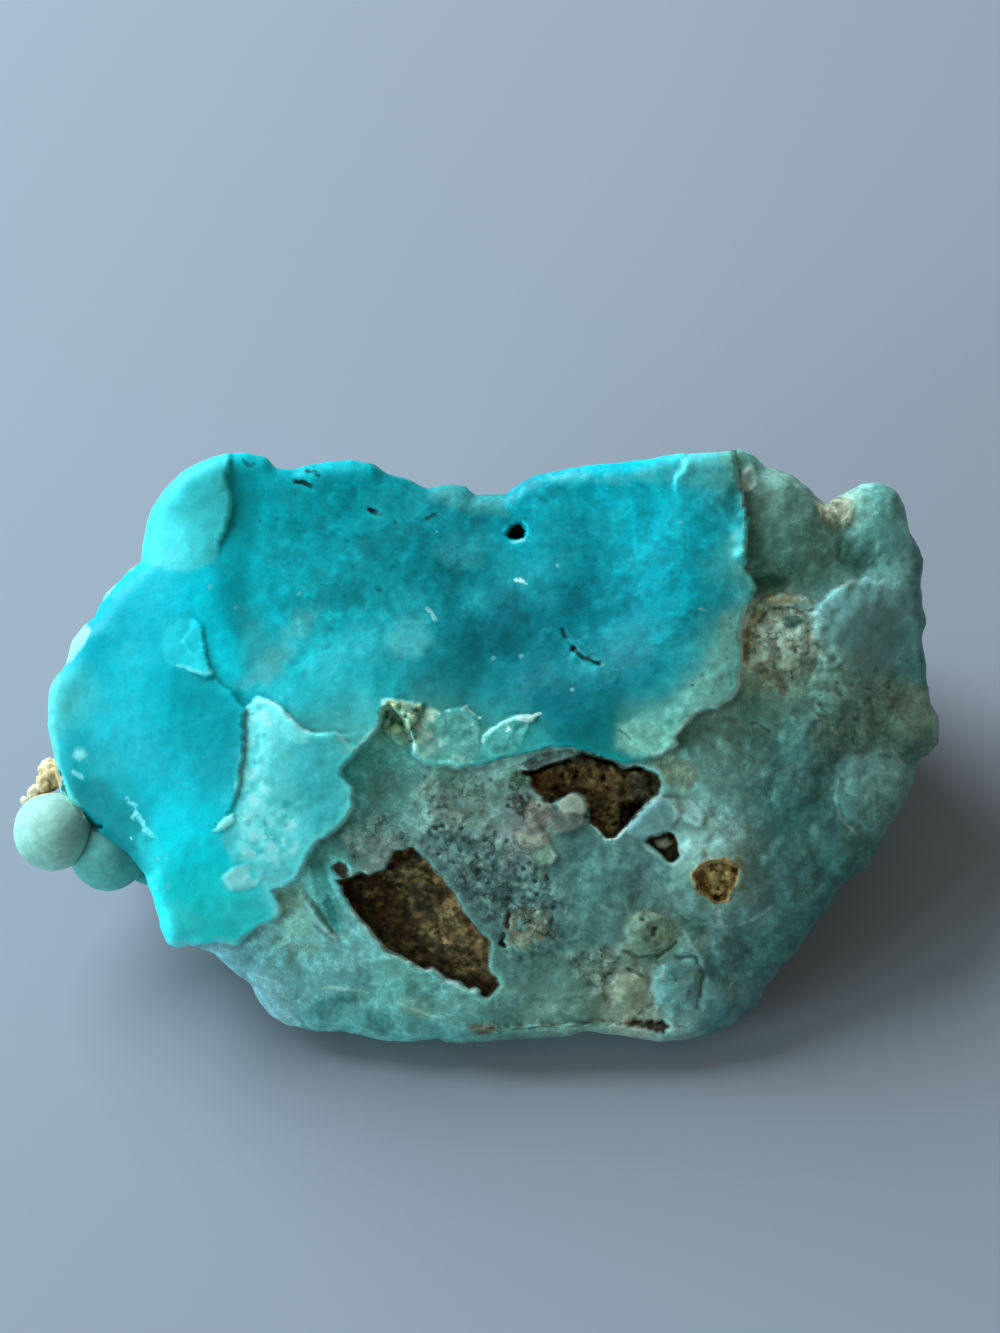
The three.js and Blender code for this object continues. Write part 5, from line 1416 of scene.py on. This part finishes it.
    def build(self) -> Object:
        """Makes the finished mesh.

        Returns:
            The stone's object, at the origin, in metres.
        """
        body = self._body()
        for lobe in self.lobes:
            self._join(body, lobe.build())
        mesh = body.data
        mesh.validate()
        mesh.transform(Matrix.Scale(MM, 4))
        body.name = mesh.name = "stone"
        return body

    def _body(self) -> Object:
        """Makes a ball whose vertices sit on the body's surface.

        Returns:
            Its object, in millimetres.
        """
        choose()
        bpy.ops.mesh.primitive_ico_sphere_add(subdivisions=self.divisions, radius=1.0)
        body = bpy.context.object
        n = read_points(body.data)
        n[:, 2] += self.front_bias
        n /= np.linalg.norm(n, axis=1, keepdims=True)
        core = np.array(self.core)
        middle = PLANE.spot(self.core_centre)
        start = middle + (n * core) @ PLANE.axes()
        ray = (n / core) @ PLANE.axes()
        ray /= np.linalg.norm(ray, axis=1, keepdims=True)
        points = self.detailed(self.surface_on(start, ray, self.search_reach))
        points[points[:, 2] < 0.01, 2] = 0.0
        write_points(body.data, self._weathered(body.data, points))
        self._thin(body, self.hidden_share, self._hidden(read_points(body.data)))
        self._thin(body, self.most_triangles / len(body.data.polygons), None)
        return body

    def _hidden(self, points: Array) -> Array:
        """How far points lie behind the display side.

        Args:
            points: n by 3 positions.

        Returns:
            0 on the display side to 1 on the sides and the back, one a point.
        """
        u, v, rise = PLANE.as_seen(points)
        base, detail = self.relief.read(u, v, "base", "detail")
        return smooth(base + detail - rise, 1.5, 4.0)

    def _weathered(self, mesh: Mesh, points: Array) -> Array:
        """Adds small lumps and roughness to the sides and the back.

        Args:
            mesh: the body's mesh.
            points: where its vertices lie, in millimetres.

        Returns:
            Where they lie then.
        """
        write_points(mesh, points)
        normals = np.empty(len(points) * 3)
        mesh.vertex_normals.foreach_get("vector", normals)
        small = np.minimum(0.7, crease_depth(points, 2.7, 2.6))
        lift = 0.12 - small * 0.8 + 0.12 * waves(points, 0.9, 91, 3)
        share = self._hidden(points) * smooth(points[:, 2], 0.0, 1.5)
        return points + normals.reshape(-1, 3) * (share * lift)[:, None]

    @staticmethod
    def _thin(body: Object, ratio: float, weights: Array | None) -> None:
        """Removes triangles where they show least.

        Args:
            body: the mesh's object.
            ratio: share of the triangles to keep.
            weights: one a vertex, 0 where nothing may be removed, or None for everywhere.
        """
        if ratio >= 1.0:
            return
        thin = body.modifiers.new("thin", "DECIMATE")
        if weights is not None:
            group = body.vertex_groups.new(name="hidden")
            free = np.nonzero(weights > 0.5)[0]
            group.add(free.tolist(), 1.0, "REPLACE")
            thin.vertex_group = "hidden"
            ratio = 1.0 - (1.0 - ratio) * len(free) / len(weights)
        thin.ratio = ratio
        bpy.ops.object.modifier_apply(modifier="thin")
        body.vertex_groups.clear()

    @staticmethod
    def _join(body: Object, piece: Object) -> None:
        """Grows a piece together with the body.

        Args:
            body: the body's object.
            piece: the piece's object, which it uses up.
        """
        choose(body)
        grown = body.modifiers.new("grown", "BOOLEAN")
        grown.operation = "UNION"
        grown.solver = "MANIFOLD"
        grown.object = piece
        bpy.ops.object.modifier_apply(modifier="grown")
        bpy.data.objects.remove(piece)


def choose(*objects: Object) -> None:
    """Selects these objects only, the first of them active.

    Args:
        objects: what the next operator acts on, or nothing.
    """
    bpy.ops.object.select_all(action="DESELECT")
    for item in reversed(objects):
        item.select_set(True)
        bpy.context.view_layer.objects.active = item


def read_points(mesh: Mesh) -> Array:
    """Reads a mesh's vertices.

    Args:
        mesh: the mesh.

    Returns:
        n by 3 positions.
    """
    flat = np.empty(len(mesh.vertices) * 3)
    mesh.vertices.foreach_get("co", flat)
    return flat.reshape(-1, 3)


def write_points(mesh: Mesh, points: Array) -> None:
    """Moves a mesh's vertices."""
    mesh.vertices.foreach_set("co", points.ravel())
    mesh.update()


# ---- Colour ----


@dataclass
class StonePaint:
    """Paints the stone's attributes from where each vertex lies."""

    stone: Stone
    gain: float = 1.04
    # painted light over the whole ground, whose faces turn away from the key
    ground_gain_painted_light: float = 1.46
    ground_balance: Triple = (0.99, 1.0, 1.05)
    pale_ground: Colour = 0x80A698
    haze: Colour = 0x2CBEC4
    # colour of the painted light on small broken planes of the face
    broken_face_light: Colour = 0x2CBAC0
    dark_earth: Colour = 0x463724
    light_earth: Colour = 0x927A52
    side_green: Colour = 0x428C88
    side_blue: Colour = 0x22A0AA
    side_pale: Colour = 0x74A498
    rust: Colour = 0x706044
    lobe_grain: float = 0.15
    side_grain: float = 0.3
    ground_grain: float = 0.36
    shell_cloud: float = 0.08
    ground_cloud: float = 0.14
    pale_share: float = 0.3
    haze_share: float = 0.35
    facet_light: float = 0.22
    facet_shade: float = 0.24
    # painted light on raised edges and painted shade in creases
    painted_edge_light_and_crease_shade: float = 0.28
    edge_height: float = 0.12

    def paint(self, body: Object) -> None:
        """Writes the colour and finish attributes.

        Args:
            body: the stone's object, in metres.
        """
        points = read_points(body.data) / MM
        u, v, rise = PLANE.as_seen(points)
        sites = Sites(u, v)
        warp_u = u + 0.6 * waves(points, 2.4, 111) + 0.3 * sites.fray_u
        warp_v = v + 0.6 * waves(points, 2.4, 121) + 0.3 * sites.fray_v
        relief = self.stone.relief
        shell, pocket, base, detail, edge = relief.read(u, v, "shell", "pocket", "base", "detail", "edge")
        on_shell = smooth(-shell, -0.06, 0.06)
        ground = GREEN_GROUND.blend(warp_u, warp_v)
        # painted light: the ground is lightened overall to stand in for light its downward faces miss, and
        # more on the right of its middle, which lies in shade
        gain_with_painted_light = self.ground_gain_painted_light + 0.5 * smooth(u, 11.0, 18.0) * smooth(v, -4.0, 4.0)
        ground = ground * 0.86 + ground.mean(axis=1)[:, None] * 0.14
        ground = ground * gain_with_painted_light[:, None] * self.ground_balance
        tint = mix(ground, BLUE_FACE.blend(warp_u, warp_v), on_shell)
        cloud = waves(points, 1.6, 161, 4)
        tint *= (1.0 + (self.shell_cloud + self.ground_cloud * (1.0 - on_shell)) * cloud)[:, None]
        pale = smooth(waves(points, 1.1, 163, 4), 0.1, 0.7) * (1.0 - on_shell)
        tint = mix(tint, linear(self.pale_ground), pale * self.pale_share)
        haze = smooth(waves(points, 2.2, 165, 4), 0.25, 0.9) * on_shell
        tint = mix(tint, linear(self.haze), haze * self.haze_share)
        # painted light and painted shade of small broken planes on the left of the blue face
        planes = waves(points, 1.9, 171, 5) + 0.35 * waves(points, 0.45, 175, 3)
        broken = on_shell * smooth(u, -15.0, -11.0) * (0.5 + 0.5 * smooth(v, 2.0, 8.0))
        tint = mix(tint, linear(self.broken_face_light), smooth(planes, 0.16, 0.34) * broken * self.facet_light)
        tint *= (1.0 - self.facet_shade * smooth(-planes, 0.16, 0.3) * broken)[:, None]
        grain = self.ground_grain - 0.31 * on_shell + 0.16 * broken
        # brown in the pockets
        brown = smooth(-pocket, -0.03, 0.06)
        shade = 0.5 + 0.3 * waves(points, 1.1, 131, 3) + 0.6 * waves(points, 0.3, 133, 2)
        earth = mix(linear(self.dark_earth), linear(self.light_earth), smooth(shade, 0.2, 0.95))
        tint = mix(tint, earth, brown)
        grit = brown
        grain = np.maximum(grain, brown)
        top = TopCoat(len(u))
        for mark in MARKS:
            strength = sites.mask(mark)
            if mark.crisp:
                top.lay(mark, sites)
            elif mark.tint:
                tint = mix(tint, linear(mark.tint), strength * mark.cover)
            if mark.grain >= 0.0:
                grain += (mark.grain - grain) * strength
            if mark.grit >= 0.0:
                grit += (mark.grit - grit) * strength
        # painted light on raised edges and painted shade in creases and hollows, from how far the relief
        # stands over its mean round it
        tint *= (1.0 + self.painted_edge_light_and_crease_shade * np.clip(edge / self.edge_height, -0.75, 0.8))[:, None]
        # the hidden sides
        hidden = smooth(base + detail - rise + 0.6 * sites.fray_u, 1.6, 3.8)
        tint = mix(tint, self._side_tint(points), hidden)
        grit *= 1 - hidden
        grain = grain * (1 - hidden) + self.side_grain * hidden
        top.gap += hidden
        self._paint_lobes(points, tint, grain, top)
        for name, values in (("tint", self._graded(tint)), ("mark_tint", self._graded(top.tint))):
            self._write(body.data, name, "FLOAT_COLOR", "color", values)
        finish = {"mark_gap": top.gap, "mark_cover": top.cover, "grain": grain, "grit": grit}
        for name, values in finish.items():
            self._write(body.data, name, "FLOAT", "value", values)

    def _graded(self, tint: Array) -> Array:
        """Lightens colours, keeping the hue of the brightest.

        Args:
            tint: n by 3 colours.

        Returns:
            n by 4 colours, with an alpha of 1.
        """
        tint = np.maximum(tint * self.gain, 0.0)
        tint = tint / np.maximum(1.0, tint.max(axis=1))[:, None]
        return np.hstack([tint, np.ones((len(tint), 1))])

    def _paint_lobes(self, points: Array, tint: Array, grain: Array, top: TopCoat) -> None:
        """Colours the lobes at the left end, in the arrays that it is given.

        Args:
            points: n by 3 positions.
            tint: n by 3 colours.
            grain: how crystalline each point is.
            top: the crisp marks, which end at the lobes.
        """
        for lobe in self.stone.lobes:
            away = np.linalg.norm(points - lobe.seat(), axis=1)
            near = away < lobe.radius * (1.0 + 1.6 * lobe.uneven)
            tone = 1.0 + 0.12 * waves(points[near], 1.5, 191)
            tint[near] = linear(lobe.tint) * tone[:, None]
            grain[near] = self.lobe_grain
            top.gap[near] = 1.0

    def _side_tint(self, points: Array) -> Array:
        """Colour of the ends, the back and the underside.

        Args:
            points: n by 3 positions.

        Returns:
            n by 3 colours.
        """
        dome = smooth(crease_depth(points, self.stone.dome_cell, self.stone.dome_radius), 0.2, 1.6)
        tone = waves(points, 6.0, 141, 4) * 0.5 + 0.5
        tint = mix(linear(self.side_green), linear(self.side_blue), smooth(tone, 0.35, 0.8))
        tint = mix(tint, linear(self.side_pale), (1 - dome) * 0.5)
        rust = smooth(waves(points, 5.0, 151, 4), 0.25, 0.6)
        return mix(tint, linear(self.rust), rust * (0.3 + 0.45 * dome))

    @staticmethod
    def _write(mesh: Mesh, name: str, kind: str, key: str, values: Array) -> None:
        """Stores one attribute on the vertices."""
        layer = mesh.attributes.new(name, kind, "POINT")
        layer.data.foreach_set(key, np.ascontiguousarray(values, dtype=np.float32).ravel())


@dataclass(frozen=True)
class Bench:
    """Makes and links the nodes of one material."""

    tree: bpy.types.NodeTree

    def add(self, kind: str, inputs: Inputs | None = None, **options: str) -> bpy.types.Node:
        """Adds a node.

        Args:
            kind: the shader node's kind.
            inputs: a socket to link or a value to set, for each input's name or number.
            options: the node's own settings.

        Returns:
            The node.
        """
        node = self.tree.nodes.new("ShaderNode" + kind)
        for name, option in options.items():
            setattr(node, name, option)
        for name, value in (inputs or {}).items():
            if isinstance(value, Socket):
                self.tree.links.new(value, node.inputs[name])
            else:
                node.inputs[name].default_value = value
        return node

    def attribute(self, name: str, output: str = "Fac") -> Socket:
        """Reads one of the mesh's attributes."""
        return self.add("Attribute", attribute_name=name).outputs[output]

    def noise(self, scale: float, detail: float, rough: float) -> Socket:
        """Noise on the object's own coordinates.

        Args:
            scale: waves a metre.
            detail: how many finer sizes.
            rough: how strong those are.

        Returns:
            Numbers from 0 to 1.
        """
        where = self.add("TexCoord").outputs["Object"]
        inputs = {"Scale": scale, "Detail": detail, "Roughness": rough, "Vector": where}
        return self.add("TexNoise", inputs).outputs["Fac"]

    def crystals(self, scale: float) -> tuple[Socket, Socket]:
        """Irregular grown-together crystals.

        Args:
            scale: crystals a metre.

        Returns:
            A shade for each crystal, and the distance to its seams.
        """
        where = self.add("TexCoord").outputs["Object"]
        warp = self.add("TexNoise", {"Scale": scale * 1.3, "Detail": 2, "Vector": where}).outputs["Color"]
        moved = self.add("VectorMath", {0: warp, 1: (1.2 / scale,) * 3, 2: where}, operation="MULTIPLY_ADD")
        place: Inputs = {"Scale": scale, "Vector": moved.outputs[0]}
        shade = self.add("TexVoronoi", place, feature="F1").outputs["Color"]
        return shade, self.add("TexVoronoi", place, feature="DISTANCE_TO_EDGE").outputs["Distance"]

    def ranged(self, source: Socket, low: float, high: float, start: float = 0.0,
               end: float = 1.0) -> Socket:
        """Maps low..high onto start..end, clamped."""
        ends = {"From Min": low, "From Max": high, "To Min": start, "To Max": end}
        return self.add("MapRange", {**ends, "Value": source}).outputs["Result"]

    def product(self, a: Socket, b: Socket) -> Socket:
        """Multiplies two numbers."""
        return self.add("Math", {0: a, 1: b}, operation="MULTIPLY").outputs[0]

    def total(self, a: Socket, b: Socket) -> Socket:
        """Adds two numbers."""
        return self.add("Math", {0: a, 1: b}).outputs[0]

    def blended(self, share: Socket, a: Socket | float, b: Socket) -> Socket:
        """Blends from a to b by a share."""
        return self.add("Mix", {"Factor": share, "A": a, "B": b}).outputs["Result"]

    def layered(self, share: Socket, under: Socket, over: Socket | Triple) -> Socket:
        """Lays a colour over another by a share."""
        top = over if isinstance(over, Socket) else (*over, 1.0)
        return self.add("Mix", {"Factor": share, "A": under, "B": top}, data_type="RGBA").outputs["Result"]

    def bump(self, height: Socket, distance: float, **under: Socket) -> Socket:
        """Tilts the surface by a height, over another bump if one is given as Normal."""
        inputs = {"Strength": 0.7, "Distance": distance, "Height": height, **under}
        return self.add("Bump", inputs).outputs["Normal"]

    def bands(self, source: Socket) -> Socket:
        """Pale and dark contours of a number: pale lines, with dark lines beside them as painted shade of
        their relief.

        Args:
            source: the number, from 0 to 1.

        Returns:
            A factor of brightness.
        """
        ramp = self.add("ValToRGB", {"Fac": source})
        stops = ramp.color_ramp.elements
        stops[0].position, stops[1].position = 0.0, 1.0
        for place in (0.34, 0.385, 0.43, 0.47, 0.515, 0.56, 0.62, 0.65, 0.68):
            stops.new(place)
        for stop, level in zip(stops, (0.5, 0.5, 0.4, 0.5, 0.5, 0.63, 0.5, 0.5, 0.59, 0.5, 0.5)):
            stop.color = (level, level, level, 1.0)
        return self.ranged(ramp.outputs["Color"], 0.0, 1.0, 0.0, 2.0)


@dataclass(frozen=True)
class WaxyMineral:
    """Translucent waxy hemimorphite, granular where it is crystalline, earthy in its pockets.

    Lengths are in metres, and waves and crystals are counted along a metre.
    """

    roughness: float = 0.42
    specular: float = 0.12
    glow: float = 0.5
    glow_depth: float = 0.6 * MM
    glow_radius: Triple = (0.5, 1.0, 1.0)
    fine_bump: float = 0.04 * MM
    grain_bump: float = 0.1 * MM
    mark_edge: float = 0.045
    mark_fray: float = 0.08
    fine_waves: float = 2600
    mottle_waves: float = 750
    speckle_waves: float = 1500
    band_waves: float = 1150
    crystal_count: float = 1300
    crumb_count: float = 3400
    pale_grain: Triple = (0.3, 0.5, 0.45)
    dark_seam: Triple = (0.02, 0.05, 0.045)

    def material(self) -> bpy.types.Material:
        """Builds the finish.

        Returns:
            The material.
        """
        material = bpy.data.materials.new("waxy_mineral")
        material.use_nodes = True
        material.node_tree.nodes.clear()
        n = Bench(material.node_tree)
        grain, grit = n.attribute("grain"), n.attribute("grit")
        fine = n.noise(self.fine_waves, 3, 0.65)
        mottle = n.noise(self.mottle_waves, 4, 0.5)
        speckle = n.noise(self.speckle_waves, 5, 0.72)
        crystal, seam = n.crystals(self.crystal_count)
        crumb, _ = n.crystals(self.crumb_count)
        # paler and darker crystals, with bands where there is grain: pale contour lines, and dark ones
        # beside them painted as shade of their relief
        rough = n.product(n.ranged(speckle, 0.34, 0.66, 0.55, 1.5), n.ranged(crystal, 0.2, 0.8, 0.68, 1.32))
        rough = n.product(rough, n.ranged(crumb, 0.2, 0.8, 0.76, 1.26))
        value = n.blended(grain, n.ranged(speckle, 0.3, 0.7, 0.91, 1.09), rough)
        share = n.product(n.ranged(grain, 0.18, 0.23), n.ranged(mottle, 0.4, 0.58))
        share = n.product(share, n.ranged(grit, 0.0, 0.5, 1.0, 0.3))
        bands = n.bands(n.noise(self.band_waves, 3, 0.55))
        value = n.product(value, n.blended(share, 1.0, bands))
        # the crisp marks over the tint
        share = n.product(self._mark_share(n, speckle), n.ranged(mottle, 0.36, 0.56, 0.55, 1.0))
        tint = n.layered(share, n.attribute("tint", "Color"), n.attribute("mark_tint", "Color"))
        tint = n.add("VectorMath", {0: tint, "Scale": value}, operation="SCALE").outputs[0]
        # pale grains, then dark seams
        bright = n.product(n.ranged(crumb, 0.66, 0.76, 0.0, 0.75), n.ranged(grain, 0.4, 1.0, 0.0, 0.9))
        tint = n.layered(n.product(bright, n.ranged(grit, 0.0, 0.6, 1.0, 0.0)), tint, self.pale_grain)
        dark = n.product(n.ranged(seam, 0.0, 0.09, 0.9, 0.0), n.ranged(mottle, 0.5, 0.4))
        tint = n.layered(n.product(dark, n.ranged(grain, 0.35, 0.9)), tint, self.dark_seam)
        # sheen, light inside the stone, and relief finer than the mesh
        sheen = n.ranged(fine, 0.3, 0.7, self.roughness - 0.08, self.roughness + 0.1)
        facing = n.blended(n.ranged(speckle, 0.0, 1.0, 0.5, 0.5), speckle, crystal)
        coarse = n.bump(n.product(facing, grain), self.grain_bump)
        shader = n.add("BsdfPrincipled", {
            "Base Color": tint,
            "Roughness": n.total(sheen, n.ranged(grit, 0.0, 1.0, 0.0, 0.4)),
            "Specular IOR Level": self.specular,
            "Subsurface Weight": n.ranged(grit, 0.0, 1.0, self.glow, 0.0),
            "Subsurface Radius": self.glow_radius,
            "Subsurface Scale": self.glow_depth,
            "Normal": n.bump(fine, self.fine_bump, Normal=coarse),
        })
        n.add("OutputMaterial", {"Surface": shader.outputs[0]})
        return material

    def _mark_share(self, n: Bench, speckle: Socket) -> Socket:
        """How much of the crisp marks' colour shows, with an edge that the speckle makes uneven.

        Args:
            n: the material's bench.
            speckle: a fine noise.

        Returns:
            A share from 0 to 1.
        """
        uneven = n.ranged(speckle, 0.3, 0.7, -self.mark_fray, self.mark_fray)
        edge = n.total(n.attribute("mark_gap"), uneven)
        inside = n.ranged(edge, -self.mark_edge, self.mark_edge, 1.0, 0.0)
        return n.product(inside, n.attribute("mark_cover"))


# ---- The studio ----


@dataclass
class Studio:
    """A plain pale floor, soft light and the camera at the display side's eye."""

    floor_tint: Colour = 0x959EAB
    frame_height: float = 78.41
    sensor: float = 36.0
    key_place: Triple = (-0.25, 0.2, 0.24)
    key_size: float = 0.34
    key_energy: float = 2.8
    side_place: Triple = (-0.29, -0.17, 0.09)
    side_size: float = 0.15
    side_energy: float = 0.55
    room_strength: float = 0.235

    def build(self) -> None:
        """Sets the floor, the lights and the camera."""
        self._floor()
        self._lights()
        self._camera()
        bpy.context.scene.view_settings.view_transform = "Standard"

    def _floor(self) -> None:
        """A wide plain sheet under the stone."""
        choose()
        bpy.ops.mesh.primitive_plane_add(size=3.0)
        floor = bpy.context.object
        floor.name = "floor"
        material = bpy.data.materials.new("pale_paper")
        material.use_nodes = True
        shader = material.node_tree.nodes["Principled BSDF"]
        shader.inputs["Base Color"].default_value = (*linear(self.floor_tint), 1.0)
        shader.inputs["Roughness"].default_value = 0.9
        shader.inputs["Specular IOR Level"].default_value = 0.1
        floor.data.materials.append(material)

    def _lights(self) -> None:
        """A large soft key from behind on the left, a weak side light and a pale room."""
        self._lamp("key", self.key_place, self.key_size, self.key_energy, (0.82, 0.93, 1.0))
        self._lamp("side", self.side_place, self.side_size, self.side_energy, (0.5, 0.92, 1.0))
        world = bpy.data.worlds.new("room")
        world.use_nodes = True
        sky = world.node_tree.nodes["Background"]
        sky.inputs["Color"].default_value = (1.0, 0.92, 0.79, 1.0)
        sky.inputs["Strength"].default_value = self.room_strength
        bpy.context.scene.world = world

    @staticmethod
    def _lamp(name: str, place: Triple, size: float, energy: float,
              colour: Triple) -> None:
        """A round soft light that looks at the stone.

        Args:
            name: the light's name.
            place: where it hangs, in metres.
            size: its width in metres.
            energy: its power in watts.
            colour: its colour.
        """
        data = bpy.data.lights.new(name, "AREA")
        data.shape = "DISK"
        data.size = size
        data.energy = energy
        data.color = colour
        lamp = bpy.data.objects.new(name, data)
        bpy.context.collection.objects.link(lamp)
        lamp.location = place
        lamp.rotation_euler = (Vector((0, 0, 0.01)) - lamp.location).to_track_quat("-Z", "Y").to_euler()

    def _camera(self) -> None:
        """A camera with its frame filled as the display plane sets it."""
        data = bpy.data.cameras.new("camera")
        data.sensor_width = self.sensor
        data.lens = self.sensor * PLANE.distance / self.frame_height
        data.clip_start = 0.01
        camera = bpy.data.objects.new("camera", data)
        bpy.context.collection.objects.link(camera)
        turn = Matrix(PLANE.axes().T.tolist()).to_4x4()
        camera.matrix_world = Matrix.Translation(Vector(PLANE.eye() * MM)) @ turn
        bpy.context.scene.camera = camera


def main() -> None:
    """Builds the stone and the studio."""
    logging.basicConfig(level=logging.INFO, format="%(message)s")
    stone = Stone()
    body = stone.build()
    LOG.info("stone: %d vertices, %d faces", len(body.data.vertices), len(body.data.polygons))
    StonePaint(stone).paint(body)
    body.data.materials.clear()
    body.data.materials.append(WaxyMineral().material())
    choose(body)
    bpy.ops.object.shade_smooth()
    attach(body, "root")
    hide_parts("hemimorphite")
    Studio().build()
    LOG.info("studio: floor, key light, camera")


if __name__ == "__main__":
    main()
